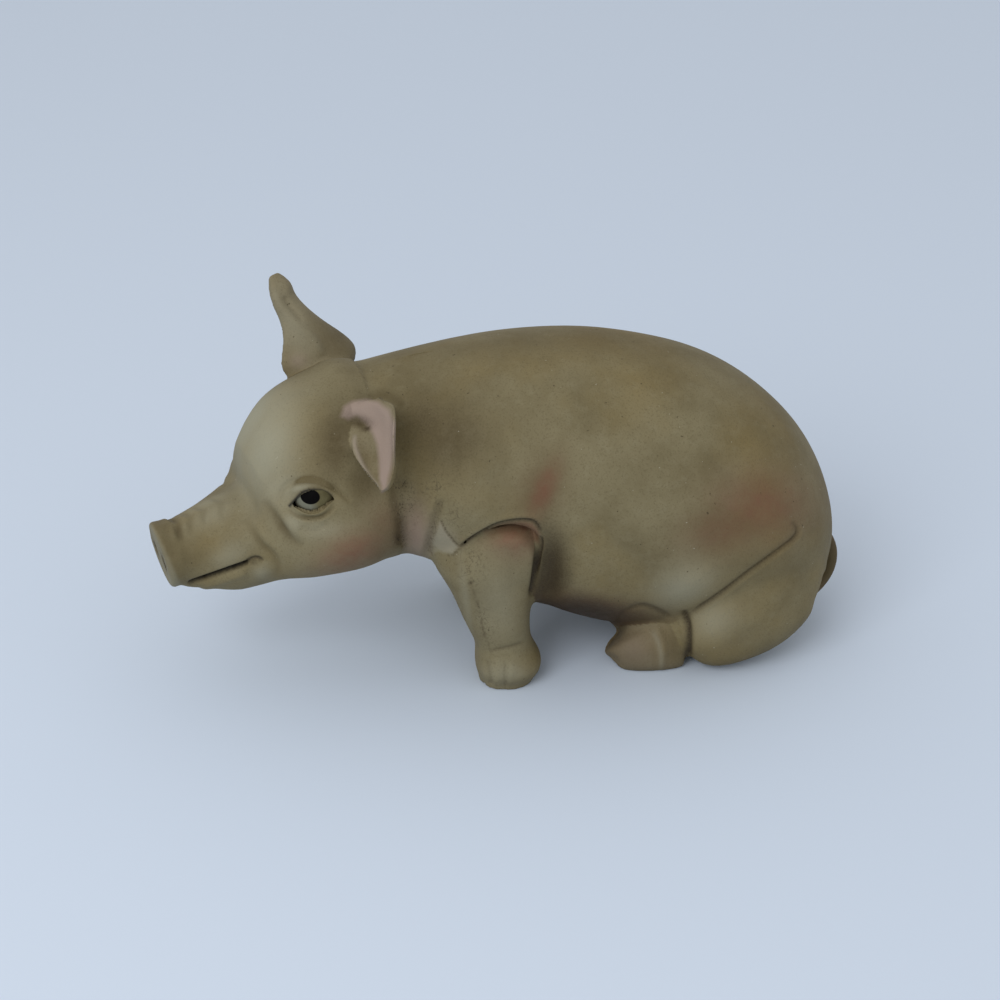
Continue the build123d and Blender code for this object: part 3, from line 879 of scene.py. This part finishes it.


# Neck. Along the seam behind the cheek and in the fold of the neck, the darkening is partly the glued seam's
# own colour and partly painted shade in the crease. On the crack and the crumbling filler it is their own
# colour. The brown under and behind the ear is painted shade.
neck_folds = {
    "seam behind the cheek": dict(
        points=[(392, 470), (396, 488), (400, 506), (402, 524), (403, 548)], width=8.0, depth=0.9,
        grime_and_shade=0.3, brown=0.3,
    ),
    "deep end of that seam": dict(
        points=[(402, 516), (403, 530), (402, 546)], width=5.0, depth=0.5, grime_and_shade=0.6, brown=0.6,
    ),
    "crack in front of the shoulder": dict(
        points=[(441, 498), (435, 520), (430, 540), (428, 556)], width=4.0, depth=0.7, nodes=torso,
        lip=0.3, grime_and_shade=0.4, crackle=0.7,
    ),
    "fold of the neck": dict(
        points=[(420, 470), (414, 500), (412, 530), (410, 556)], width=6.0, depth=0.4, nodes=torso,
        grime_and_shade=0.1,
    ),
    "upper crumbling": dict(middle=(401, 486), size=(8, 8), height=-0.3, crackle=1.0, grime_and_shade=0.4),
    "lower crumbling": dict(middle=(401, 540), size=(7, 10), crackle=1.0, grime_and_shade=0.75),
    "crackle along the seam": dict(middle=(405, 505), size=(14, 26), crackle=0.7, grime_and_shade=0.15),
    "crackle above the fold": dict(middle=(436, 488), size=(14, 16), nodes=torso, crackle=0.55),
    "crackle above the filler": dict(middle=(455, 520), size=(14, 16), nodes=torso, crackle=0.5),
    "shade behind the ear": dict(middle=(449, 438), size=(42, 42), brown=1.0, grime_and_shade=0.3),
    "shade under the ear": dict(middle=(426, 420), size=(22, 30), brown=0.7, grime_and_shade=0.4),
    "rosy neck": dict(middle=(416, 535), size=(13, 28), nodes=torso, rosy=0.6, blush=0.2),
    "pale neck": dict(middle=(440, 540), size=(14, 20), nodes=torso, pale=0.3),
}


def carve_neck(skin):
    """The folds of the neck, the same on the head's mesh and the trunk's."""
    skin.follow(neck_folds, neck)


# Painted light and shade. The entries named shade, and the underside of the belly, darken where shade falls,
# the top of the back included. The belly also has its own red-brown. The entries named light are painted
# highlight on the lit front and faces of the leg and trotter. Blush, crackle, the pale filler and its cracks
# are the figure's own colour.
body_sprays = {
    "blush on the leg top": dict(middle=(516, 535), size=(27, 20), nodes=legs, blush=0.95),
    "skin over the leg top": dict(
        corners=[
            (484, 532), (496, 525.5), (509.5, 522), (522.7, 521), (532, 522), (537, 527), (540, 535),
            (539, 543), (530, 541), (515, 538), (498, 537),
        ],
        edge=5.0, blush=0.7, brown=0.5,
    ),
    "shade behind the leg": dict(
        corners=[(541, 546), (562, 545), (568, 575), (562, 598), (530, 601), (533, 586), (538, 566)],
        edge=22.0, brown=1.0, grime_and_shade=0.85, deep_shade=0.2,
    ),
    "deep blush on the leg top": dict(middle=(523, 528), size=(11, 9), nodes=legs, blush=1.0),
    "blush on the flank": dict(middle=(544, 490), size=(12, 30), turn=24, blush=0.8),
    "brown round that blush": dict(middle=(541, 492), size=(22, 36), turn=24, brown=0.8, blush=0.25),
    "blush on the rump": dict(middle=(762, 505), size=(46, 32), nodes=hind, blush=0.75, brown=0.4),
    "blush before the rump": dict(
        middle=(728, 528), size=(46, 24), nodes=hind, turn=-15, blush=0.5, brown=0.7,
    ),
    "underside of the belly": dict(
        middle=(588, 612), size=(66, 15), turn=10, blush=0.7, brown=1.0, grime_and_shade=0.9, deep_shade=0.5,
    ),
    "shade on the shoulder": dict(middle=(500, 500), size=(30, 25), turn=-20, brown=0.25),
    "light on the front of the leg": dict(
        middle=(466, 600), size=(5, 40), nodes=legs, turn=-8, pale=0.25,
    ),
    "light on the leg": dict(middle=(500, 606), size=(26, 40), nodes=legs, pale=0.22),
    "light on the trotter": dict(middle=(506, 674), size=(26, 12), nodes=legs, pale=0.35),
    "crackle on the leg top": dict(
        middle=(472, 566), size=(13, 26), nodes=legs, side="near", crackle=0.6,
    ),
    "crackle down the leg": dict(
        middle=(486, 628), size=(9, 30), nodes=legs, side="near", turn=-15, crackle=0.5,
    ),
    "shade along the back": dict(middle=(600, 336), size=(230, 22), brown=0.5, grime_and_shade=0.12),
    "shade on the thigh": dict(middle=(760, 566), size=(40, 34), nodes=hind, brown=0.45),
    "shade in the armpit": dict(middle=(552, 572), size=(16, 40), brown=1.0, grime_and_shade=0.9, deep_shade=0.3),
    "shade on the hind foot": dict(middle=(640, 640), size=(30, 22), nodes=feet, brown=0.2),
    "tail": dict(middle=(830, 567), size=(16, 26), nodes=("tail",), brown=0.9),
    "pale filler": dict(
        corners=[
            (440, 521), (446, 532), (453, 540), (458, 547), (452, 554), (443, 552), (433, 546),
            (431, 541), (436, 532),
        ],
        edge=3.5, nodes=legs + torso, side="near", pale=0.42, rosy=0.12,
    ),
    "crack over the filler": dict(
        points=[(440, 519), (446, 531), (453, 540), (460, 548)], width=0.9, depth=0.35,
        nodes=torso + legs, side="near", grime_and_shade=0.95, broken=0.2,
    ),
    "crack behind the filler": dict(
        points=[(459, 549), (454, 554), (447, 555)], width=0.8, depth=0.2, nodes=torso + legs,
        side="near", grime_and_shade=0.7,
    ),
    "crack before the filler": dict(
        points=[(431, 541), (430, 549), (433, 556)], width=1.0, depth=0.2, nodes=torso + legs,
        side="near", grime_and_shade=0.6,
    ),
}
# Painted shade under the figure: brown on faces that turn down, stronger low down
underside_shade = 0.7
underside_height = 60


def paint_body(skin):
    """Sprayed colour, painted highlight and painted shade on the trunk, legs and feet."""
    skin.follow(body_sprays, torso)
    low_down = np.clip(1 - skin.places[:, 2] / underside_height, 0, 1)
    skin.wash("brown", underside_shade * (np.clip(-skin.normals[:, 2], 0, 1) * low_down))


# Swellings of the face; their pale is painted highlight on raised forms
face_swells = {
    "cheek": dict(middle=(352, 545), size=(34, 20), height=1.0, turn=-25),
    "upper lip": dict(middle=(228, 556), size=(20, 12), height=0.6, turn=-25, pale=0.3),
    "corner of the mouth": dict(middle=(262, 571), size=(9, 8), height=0.8, pale=0.35),
    "pouch under the eye": dict(middle=(294, 522), size=(12, 9), height=0.8, turn=40, pale=0.4),
    "upper lid": dict(middle=(300, 488), size=(16, 5), height=0.5, turn=-14, pale=0.5),
}

# Folds of the face; the brown and darkening in the wrinkles, creases and folds, and the near black in the
# mouth and its corner, are painted shade
face_folds = {
    "first wrinkle of the snout": dict(
        points=[(178, 520), (179, 532), (183, 541)], width=3.0, depth=0.6, lip=0.3, grime_and_shade=0.25,
        brown=0.8, ends=0.4,
    ),
    "second wrinkle of the snout": dict(
        points=[(193, 512), (191, 524), (193, 536)], width=2.8, depth=0.4, lip=0.25, brown=0.35,
        ends=0.45,
    ),
    "third wrinkle of the snout": dict(
        points=[(207, 504), (204, 516), (205, 526)], width=2.8, depth=0.35, lip=0.2, brown=0.25,
        ends=0.45,
    ),
    "fourth wrinkle of the snout": dict(
        points=[(225, 498), (222, 510), (223, 520)], width=3.0, depth=0.25, lip=0.2, brown=0.2,
        ends=0.45,
    ),
    "crease under the eye": dict(
        points=[(263, 500), (270, 509), (276, 518), (282, 528), (289, 537), (297, 543), (305, 546)],
        width=4.2, depth=1.1, lip=-0.4, grime_and_shade=0.2, brown=0.9, ends=0.5,
    ),
    "crease of the muzzle": dict(
        points=[(246, 518), (251, 527), (257, 538), (263, 546), (272, 554), (278, 565), (278, 576)],
        width=3.4, depth=0.8, lip=-0.3, brown=0.8, ends=0.5,
    ),
    "mouth": dict(
        points=[(188, 584), (208, 577), (228, 570), (248, 563)], width=1.9, depth=2.6, grime_and_shade=1.0,
        deep_shade=1.0, ends=0.05,
    ),
    "smile at the end of the mouth": dict(
        points=[(244, 565), (251, 559), (258, 558), (263, 561)], width=1.7, depth=0.9, grime_and_shade=0.8,
        deep_shade=0.35,
    ),
    "pit at the end of the mouth": dict(middle=(253, 562), size=(5, 3), height=-0.3, grime_and_shade=0.6),
    "lower lip": dict(points=[(200, 588), (222, 581), (248, 572)], width=4.0, depth=-0.7),
    "brow": dict(
        points=[
            (280, 503), (280, 494), (284, 487), (293, 481), (306, 479), (320, 481), (333, 487),
            (343, 495), (351, 502),
        ],
        width=3.2, depth=0.7, brown=0.15, ends=0.12,
    ),
    "outer end of the brow": dict(
        points=[(312, 480), (322, 482), (333, 487.5), (343, 495), (351, 502)], width=2.0, depth=0.5,
        lip=0.3, grime_and_shade=0.2, brown=0.5, ends=0.4,
    ),
    "fold under the lower lid": dict(
        points=[(288, 509), (296, 515), (307, 518), (320, 517), (331, 510), (336, 504)], width=1.8,
        depth=0.5, lip=0.3, grime_and_shade=0.25, brown=0.7, ends=0.35,
    ),
    "second fold under the lid": dict(
        points=[(298, 527), (315, 530), (330, 523)], width=3.4, depth=0.3, grime_and_shade=0.12,
    ),
}


def carve_face(skin):
    """The folds, wrinkles and lids of the face."""
    skin.follow(face_swells, face)
    skin.settle()
    skin.follow(face_folds, face)


# Painted light and shade on the face. The jowl, the temple, the place behind the eye, the side of the snout
# and the place behind the snout disc take painted shade. The forehead, the inner end of the brow, the place
# under the eye and the top of the snout take painted highlight. The line of the upper lid is a painted
# shadow of the lid. The blush is the figure's own colour.
face_sprays = {
    "blush on the cheek": dict(middle=(352, 552), size=(36, 18), turn=-25, blush=0.9),
    "jowl": dict(middle=(385, 525), size=(22, 28), blush=0.35, brown=0.4),
    "temple": dict(middle=(338, 440), size=(24, 46), turn=10, brown=1.0, grime_and_shade=0.35),
    "behind the eye": dict(middle=(362, 480), size=(20, 22), brown=0.95, grime_and_shade=0.2),
    "forehead": dict(middle=(266, 440), size=(32, 62), turn=12, pale=0.7),
    "inner end of the brow": dict(middle=(276, 485), size=(26, 24), pale=0.45),
    "under the eye": dict(middle=(318, 530), size=(28, 10), pale=0.3),
    "side of the snout": dict(middle=(190, 556), size=(26, 16), turn=-20, brown=0.45),
    "top of the snout": dict(middle=(214, 514), size=(30, 12), turn=-25, pale=0.35),
    "behind the snout disc": dict(middle=(168, 552), size=(12, 34), turn=-15, brown=0.6),
    "line of the upper lid": dict(
        points=[
            (288.5, 507), (292, 503), (296.5, 498), (303, 492), (311, 490), (320, 490.5), (327, 493),
            (332, 497),
        ],
        width=1.6, depth=0.0, deep_shade=0.95, ends=0.02,
    ),
}

# Snout disc, nostrils and lid edges, in mm from the neck joint in the head's own directions: painted
# highlight on the front of the disc, painted shade in the nostrils and at the lid edges round the eyes
disc_highlight_fade = (80.5, 1.2)
disc_highlight = 0.35
nostril_side = 5.75
nostril_rise = 0.2
nostril_half_width = 2.6
nostril_half_height = 3.6
nostril_start = 74
nostril_end = 83.4
nostril_deep_shade = 1.3
nostril_deep_shade_from = 0.35
nostril_shade = 0.8
lid_shade_fade = (9.5, 0.8)


def paint_face(skin):
    """Sprayed colour, painted highlight and painted shade on the face."""
    skin.follow(face_sprays, face)
    offset = skin.places - head_middle
    ahead = offset @ head_ahead
    rise = offset @ head_up
    lateral = offset @ head_left
    on_head = skin.on(face)
    # Painted highlight on the front of the snout disc
    skin.wash("pale", disc_highlight * rising(ahead, *disc_highlight_fade) * on_head)
    # Painted shade in and round the nostrils
    for hand in (-1, 1):
        across = (lateral - hand * nostril_side) / nostril_half_width
        down = (rise - nostril_rise) / nostril_half_height
        hole = np.exp(-(across ** 2 + down ** 2)) * (ahead > nostril_start) * on_head
        skin.wash("deep_shade", nostril_deep_shade * np.clip(hole - nostril_deep_shade_from, 0, 1) * (ahead < nostril_end))
        skin.wash("grime_and_shade", nostril_shade * hole)
    # Painted shade on the lid edges round each eye
    for middle in eye_middles:
        gap = np.linalg.norm(skin.places - middle, axis=1)
        skin.wash("brown", falling(gap, *lid_shade_fade) * on_head)


# Ears. The brown and darkening in the canal and its end, and in the groove of the raised ear, are painted
# shade. The pale on the ridge of the raised ear, and the light on that ear, are painted highlight.
ear_hollows = {
    "hollow of the drooping ear": dict(
        middle=(369, 455), size=(8, 25), height=-1.5, side="near", turn=-16,
    ),
    "canal of the ear": dict(
        middle=(358, 421), size=(13, 5.5), height=-1.8, nodes=near_ear + face, side="near", turn=12,
        brown=1.0, grime_and_shade=0.6,
    ),
    "end of the canal": dict(
        middle=(365, 427), size=(5, 3.5), height=-0.6, nodes=near_ear + face, side="near", grime_and_shade=0.95,
    ),
    "ridge of the raised ear": dict(
        points=[(274, 284), (280, 305), (296, 324), (312, 338), (322, 356)], width=5.0, depth=-0.9,
        nodes=far_ear, pale=0.25,
    ),
    "groove of the raised ear": dict(
        points=[(284, 296), (291, 308), (303, 322)], width=3.0, depth=0.5, nodes=far_ear, brown=0.2,
    ),
    "light on the raised ear": dict(middle=(294, 325), size=(18, 44), nodes=far_ear, turn=-25, pale=0.3),
}

# The entries named shade are painted shade; the pink is the ear's own colour
ear_rims = {
    "rim of the drooping ear": dict(
        points=[
            (343, 424), (345, 412), (353, 406), (366, 404), (380, 407), (387, 418), (388, 438),
            (386, 462), (383, 484),
        ],
        width=6.0, depth=-0.6, side="near", ends=0.05,
    ),
    "pink skin of the ear": dict(
        corners=[
            (341, 417), (344, 407), (352, 402), (366, 400), (379, 402), (390, 410), (396, 425),
            (395, 445), (392, 468), (387, 488), (382, 492), (380, 480), (379, 460), (377, 444),
            (373, 434), (366, 424), (357, 416), (348, 420),
        ],
        edge=5.0, side="near", rosy=0.95,
    ),
    "front rim of the ear": dict(
        points=[(355, 434), (355, 446), (361, 462), (369, 476), (380, 490)], width=2.2, depth=-0.3,
        nodes=near_ear, side="near", rosy=0.5, pale=0.4,
    ),
    "shade in the hollow": dict(
        middle=(367, 450), size=(8, 18), nodes=near_ear, side="near", turn=-16, grime_and_shade=0.12,
    ),
    "shade under the back edge": dict(
        points=[(367, 396), (382, 394), (396, 399), (404, 408)], width=5.0, depth=0.4,
        nodes=near_ear + face + torso, side="near", brown=0.9,
    ),
    "root of the raised ear": dict(middle=(298, 361), size=(9, 8), nodes=far_ear + face, rosy=0.35),
    "shade on the raised ear": dict(middle=(335, 335), size=(22, 22), nodes=far_ear, brown=0.55),
}


def carve_ears(skin):
    """The hollow, canal and rim of the drooping ear, and the back of the raised one."""
    skin.follow(ear_hollows, near_ear)
    skin.settle()
    skin.follow(ear_rims, near_ear + face)


def worked(grain, keep, own):
    """One mesh of the whole figure, carved and painted, split into the castings in own."""
    skin = Skin(grain, keep)
    for step in (lower_lids, reshape_head, carve_body, carve_face, carve_ears, carve_neck):
        step(skin)
        skin.settle()
    for step in (paint_body, paint_face):
        step(skin)
    skin.places = np.clip(skin.places, np.array(cad_box[0]) / mm, np.array(cad_box[1]) / mm)
    skin.settle()
    skin.write_paint()
    return skin.part(own)


skins = worked(body_grain, lambda places: places[:, 0] > body_mesh_start, body_nodes)
skins.update(worked(head_grain, lambda places: places[:, 0] < head_mesh_end, head_nodes))


def noise(tree, place, scale, detail, roughness):
    """Soft noise on the piece, in cycles per metre."""
    node = tree.nodes.new("ShaderNodeTexNoise")
    node.inputs["Scale"].default_value = scale
    node.inputs["Detail"].default_value = detail
    node.inputs["Roughness"].default_value = roughness
    tree.links.new(place, node.inputs["Vector"])
    return node.outputs["Fac"]


def ramp(tree, value, low, high, start=0.0, end=1.0):
    """A value spread from low and high to start and end."""
    node = tree.nodes.new("ShaderNodeMapRange")
    node.clamp = True
    for name, number in (("From Min", low), ("From Max", high), ("To Min", start), ("To Max", end)):
        node.inputs[name].default_value = number
    tree.links.new(value, node.inputs["Value"])
    return node.outputs["Result"]


def times(tree, first, second):
    """Two values multiplied."""
    node = tree.nodes.new("ShaderNodeMath")
    node.operation = "MULTIPLY"
    for socket, value in zip(node.inputs, (first, second)):
        if isinstance(value, (int, float)):
            socket.default_value = value
        else:
            tree.links.new(value, socket)
    return node.outputs["Value"]


# Sockets of a mix node for colours, which share their names with those for other kinds of value
mix_below = 6
mix_above = 7
mix_result = 2


def over(tree, below, paint, amount):
    """One paint laid over another by an amount."""
    node = tree.nodes.new("ShaderNodeMix")
    node.data_type = "RGBA"
    tree.links.new(amount, node.inputs["Factor"])
    for socket, value in ((node.inputs[mix_below], below), (node.inputs[mix_above], paint)):
        if isinstance(value, tuple):
            socket.default_value = value
        else:
            tree.links.new(value, socket)
    return node.outputs[mix_result]


def painted(tree, layer):
    """The strength of a paint on the piece."""
    node = tree.nodes.new("ShaderNodeAttribute")
    node.attribute_name = layer
    return node.outputs["Fac"]


def plain_material(name, specular):
    """A new material, with its nodes, its shader and the place on the piece."""
    material = bpy.data.materials.new(name)
    material.use_nodes = True
    tree = material.node_tree
    shader = tree.nodes["Principled BSDF"]
    shader.inputs["Specular IOR Level"].default_value = specular
    return material, tree, shader, tree.nodes.new("ShaderNodeTexCoord").outputs["Object"]


# Paints of the castings; pale also serves as painted highlight, and brown, the crease darkening and the near
# black mostly as painted shade
ochre_mist = colour(124, 106, 62)
grey_mottle = colour(140, 134, 110)
dark_stipple = colour(84, 74, 48)
pale_paint = colour(158, 157, 138)
brown_paint = colour(84, 73, 46)
rosy_paint = colour(150, 132, 122)
blush_paint = colour(114, 70, 54)
grime_and_shade_paint = colour(60, 48, 28)
fine_crack_paint = colour(46, 36, 22)
crumb_paint = colour(50, 38, 24)
fleck_paint = colour(64, 54, 34)
chip_paint = colour(172, 168, 150)
deep_shade_paint = colour(12, 9, 7)
resin_specular = 0.28
roughness_spread = 0.07
fine_crack_scale = 240
grain_strength = 0.5
grain_depth = 0.35
stipple_relief = 0.5
mottle_relief = 0.9


def painted_resin(name, ground, shade, roughness):
    """Matt painted resin: a mottled ground, sprayed blush and brown, painted shade and painted highlight,
    the darkness of cracks and crumbs, flecks and fine cracks.
    """
    material, tree, shader, place = plain_material(name, resin_specular)
    cloud = noise(tree, place, scale=38, detail=4, roughness=0.6)
    mottle = noise(tree, place, scale=260, detail=4, roughness=0.65)
    stipple = noise(tree, place, scale=1500, detail=2, roughness=0.6)
    mist = noise(tree, place, scale=21, detail=3, roughness=0.5)
    skin = over(tree, ground, shade, ramp(tree, cloud, low=0.38, high=0.66))
    for paint, pattern, low, high, most in (
        (ochre_mist, mist, 0.48, 0.7, 0.55),
        (grey_mottle, mottle, 0.5, 0.8, 0.25),
        (dark_stipple, stipple, 0.52, 0.72, 0.45),
    ):
        skin = over(tree, skin, paint, times(tree, ramp(tree, pattern, low, high), most))
    # Sprayed layers: pale is partly painted highlight and brown partly painted shade. The crease darkening
    # is mostly painted shade, with the own colour of cracks, crumbs and seams.
    for layer, paint, cover in (
        ("pale", pale_paint, ramp(tree, cloud, low=0.2, high=0.6, start=0.7, end=1.0)),
        ("brown", brown_paint, ramp(tree, mottle, low=0.2, high=0.7, start=0.55, end=0.95)),
        ("rosy", rosy_paint, 0.85),
        ("blush", blush_paint, ramp(tree, mottle, low=0.25, high=0.75, start=0.45, end=0.85)),
        ("grime_and_shade", grime_and_shade_paint, ramp(tree, stipple, low=0.3, high=0.6, start=0.6, end=1.0)),
    ):
        skin = over(tree, skin, paint, times(tree, painted(tree, layer), cover))

    cracks = tree.nodes.new("ShaderNodeTexVoronoi")
    cracks.feature = "DISTANCE_TO_EDGE"
    cracks.inputs["Scale"].default_value = fine_crack_scale
    tree.links.new(place, cracks.inputs["Vector"])
    fine_crack = ramp(tree, cracks.outputs["Distance"], low=0.0, high=0.045, start=1.0, end=0.0)
    broken = times(tree, fine_crack, ramp(tree, mottle, low=0.48, high=0.56))
    crumbs = ramp(tree, noise(tree, place, scale=1000, detail=3, roughness=0.7), low=0.56, high=0.62)
    flecks = ramp(tree, noise(tree, place, scale=620, detail=1, roughness=0.4), low=0.775, high=0.80)
    chips = ramp(tree, noise(tree, place, scale=900, detail=1, roughness=0.4), low=0.80, high=0.82)
    for paint, pattern, most in (
        (fine_crack_paint, times(tree, broken, painted(tree, "crackle")), 0.8),
        (crumb_paint, times(tree, crumbs, painted(tree, "crackle")), 0.8),
        (fleck_paint, flecks, 0.7),
        (chip_paint, chips, 0.5),
    ):
        skin = over(tree, skin, paint, times(tree, pattern, most))
    # Near black: painted shade in the mouth slit, the nostrils and the deepest recesses
    skin = over(tree, skin, deep_shade_paint, painted(tree, "deep_shade"))
    tree.links.new(skin, shader.inputs["Base Color"])
    smoothest = roughness - roughness_spread
    matt = ramp(tree, mottle, low=0.3, high=0.7, start=smoothest, end=roughness + roughness_spread)
    tree.links.new(matt, shader.inputs["Roughness"])

    height = tree.nodes.new("ShaderNodeMath")
    height.operation = "ADD"
    tree.links.new(times(tree, stipple, stipple_relief), height.inputs[0])
    tree.links.new(times(tree, mottle, mottle_relief), height.inputs[1])
    bump = tree.nodes.new("ShaderNodeBump")
    bump.inputs["Strength"].default_value = grain_strength
    bump.inputs["Distance"].default_value = grain_depth * mm
    tree.links.new(height.outputs["Value"], bump.inputs["Height"])
    tree.links.new(bump.outputs["Normal"], shader.inputs["Normal"])
    return material


# The finishes: a ground colour, the shade in its clouds and its roughness
finish_colours = {
    "skin": dict(ground=colour(121, 112, 84), shade=colour(104, 94, 66), roughness=0.72),
    "ear": dict(ground=colour(124, 114, 88), shade=colour(104, 94, 68), roughness=0.70),
    "leg": dict(ground=colour(121, 112, 84), shade=colour(104, 94, 66), roughness=0.72),
    "trotter": dict(ground=colour(118, 109, 88), shade=colour(100, 90, 68), roughness=0.70),
    "tail": dict(ground=colour(92, 78, 54), shade=colour(76, 62, 42), roughness=0.74),
    "filler": dict(ground=colour(122, 112, 86), shade=colour(106, 95, 68), roughness=0.78),
}
finishes = {name: painted_resin(name + " paint", **values) for name, values in finish_colours.items()}
for name, piece in skins.items():
    piece.data.materials.clear()
    piece.data.materials.append(finishes[slots[name]])
    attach(piece, "root")
    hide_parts(name)


# Eyes: the colours, the way that they look in the head's own directions, and how the pupil is drawn
eye_white = colour(96, 90, 64)
eye_white_shade = colour(84, 78, 54)
eye_white_front = colour(112, 112, 98)
# Painted shade on the ball's edge, where it goes under the lids
eye_edge_shade = colour(52, 44, 28)
pupil_paint = colour(6, 5, 5)
eye_specular = 0.05
eye_look_side = 0.79
eye_look_ahead = 0.45
eye_look_up = 0.41
pupil_stretch = (1.0, 1.0, 1.35)
pupil_inner = 0.40
pupil_outer = 0.43


def vector_step(tree, operation, value, other=None):
    """One step of vector arithmetic, with a fixed second vector where it takes one."""
    node = tree.nodes.new("ShaderNodeVectorMath")
    node.operation = operation
    tree.links.new(value, node.inputs[0])
    if other is not None:
        node.inputs[1].default_value = tuple(other)
    return node.outputs


def painted_eye(name, middle, gaze):
    """A painted eyeball: a black pupil on an olive white that darkens to its edge, a painted shade where the
    ball goes under the lids.
    """
    material, tree, shader, place = plain_material(name, eye_specular)
    offset = vector_step(tree, "SUBTRACT", place, middle * mm)["Vector"]
    outward = vector_step(tree, "NORMALIZE", offset)["Vector"]
    from_gaze = vector_step(tree, "SUBTRACT", outward, gaze)["Vector"]
    stretched = vector_step(tree, "MULTIPLY", from_gaze, pupil_stretch)["Vector"]
    reach = vector_step(tree, "LENGTH", stretched)["Value"]
    front = vector_step(tree, "DOT_PRODUCT", outward, head_ahead)["Value"]
    cloud = noise(tree, place, scale=420, detail=3, roughness=0.6)
    white = over(tree, eye_white, eye_white_shade, ramp(tree, cloud, low=0.35, high=0.65))
    white = over(tree, white, eye_white_front, ramp(tree, front, low=0.25, high=0.55))
    white = over(tree, white, eye_edge_shade, ramp(tree, reach, low=0.70, high=1.05))
    skin = over(tree, white, pupil_paint, ramp(tree, reach, low=pupil_outer, high=pupil_inner))
    tree.links.new(skin, shader.inputs["Base Color"])
    tree.links.new(ramp(tree, cloud, low=0.3, high=0.7, start=0.6, end=0.75), shader.inputs["Roughness"])
    return material


for name, hand in (("left_eye", 1), ("right_eye", -1)):
    low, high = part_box(name)
    middle = (np.array(low) + np.array(high)) / 2 / mm
    look = eye_look_side * hand * head_left + eye_look_ahead * head_ahead + eye_look_up * head_up
    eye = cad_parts[name]
    eye.data.materials.clear()
    eye.data.materials.append(painted_eye(name + " paint", middle, look / np.linalg.norm(look)))

# Floor and background
floor_half_size = 6.0
floor_colour = colour(206, 218, 234)
floor_roughness = 0.95
floor_specular = 0.1
floor_mesh = bmesh.new()
bmesh.ops.create_grid(floor_mesh, x_segments=1, y_segments=1, size=floor_half_size)
floor = object_from(floor_mesh, "floor")
floor_mesh.free()
floor_paint, _, floor_shader, _ = plain_material("pale ground", floor_specular)
floor_shader.inputs["Base Color"].default_value = floor_colour
floor_shader.inputs["Roughness"].default_value = floor_roughness
floor.data.materials.append(floor_paint)

# Light: an even sky and one soft lamp from the upper left
sky_strength = 0.72
lamp_place = (-0.75, -0.95, 0.9)
lamp_aim = (0.0, 0.0, 0.05)
lamp_size = 0.8
lamp_power = 8.0
world = bpy.data.worlds.new("studio")
world.use_nodes = True
sky = world.node_tree.nodes["Background"]
sky.inputs["Color"].default_value = (1.0, 1.0, 1.0, 1.0)
sky.inputs["Strength"].default_value = sky_strength
bpy.context.scene.world = world


def soft_lamp(name, place, aim, size, power):
    """A square soft lamp that points at the figure."""
    light = bpy.data.lights.new(name, "AREA")
    light.size = size
    light.energy = power
    lamp = bpy.data.objects.new(name, light)
    lamp.location = place
    lamp.rotation_euler = (Vector(aim) - Vector(place)).to_track_quat("-Z", "Y").to_euler()
    bpy.context.scene.collection.objects.link(lamp)


soft_lamp("main lamp", lamp_place, lamp_aim, lamp_size, lamp_power)

camera_data = bpy.data.cameras.new("camera")
camera_data.lens = camera_lens
camera_data.sensor_width = sensor_width
camera = bpy.data.objects.new("camera", camera_data)
camera.location = Vector(camera_place * mm)
camera.rotation_euler = Vector(-to_camera).to_track_quat("-Z", "Y").to_euler()
bpy.context.scene.collection.objects.link(camera)
bpy.context.scene.camera = camera
bpy.context.scene.view_settings.view_transform = "Standard"
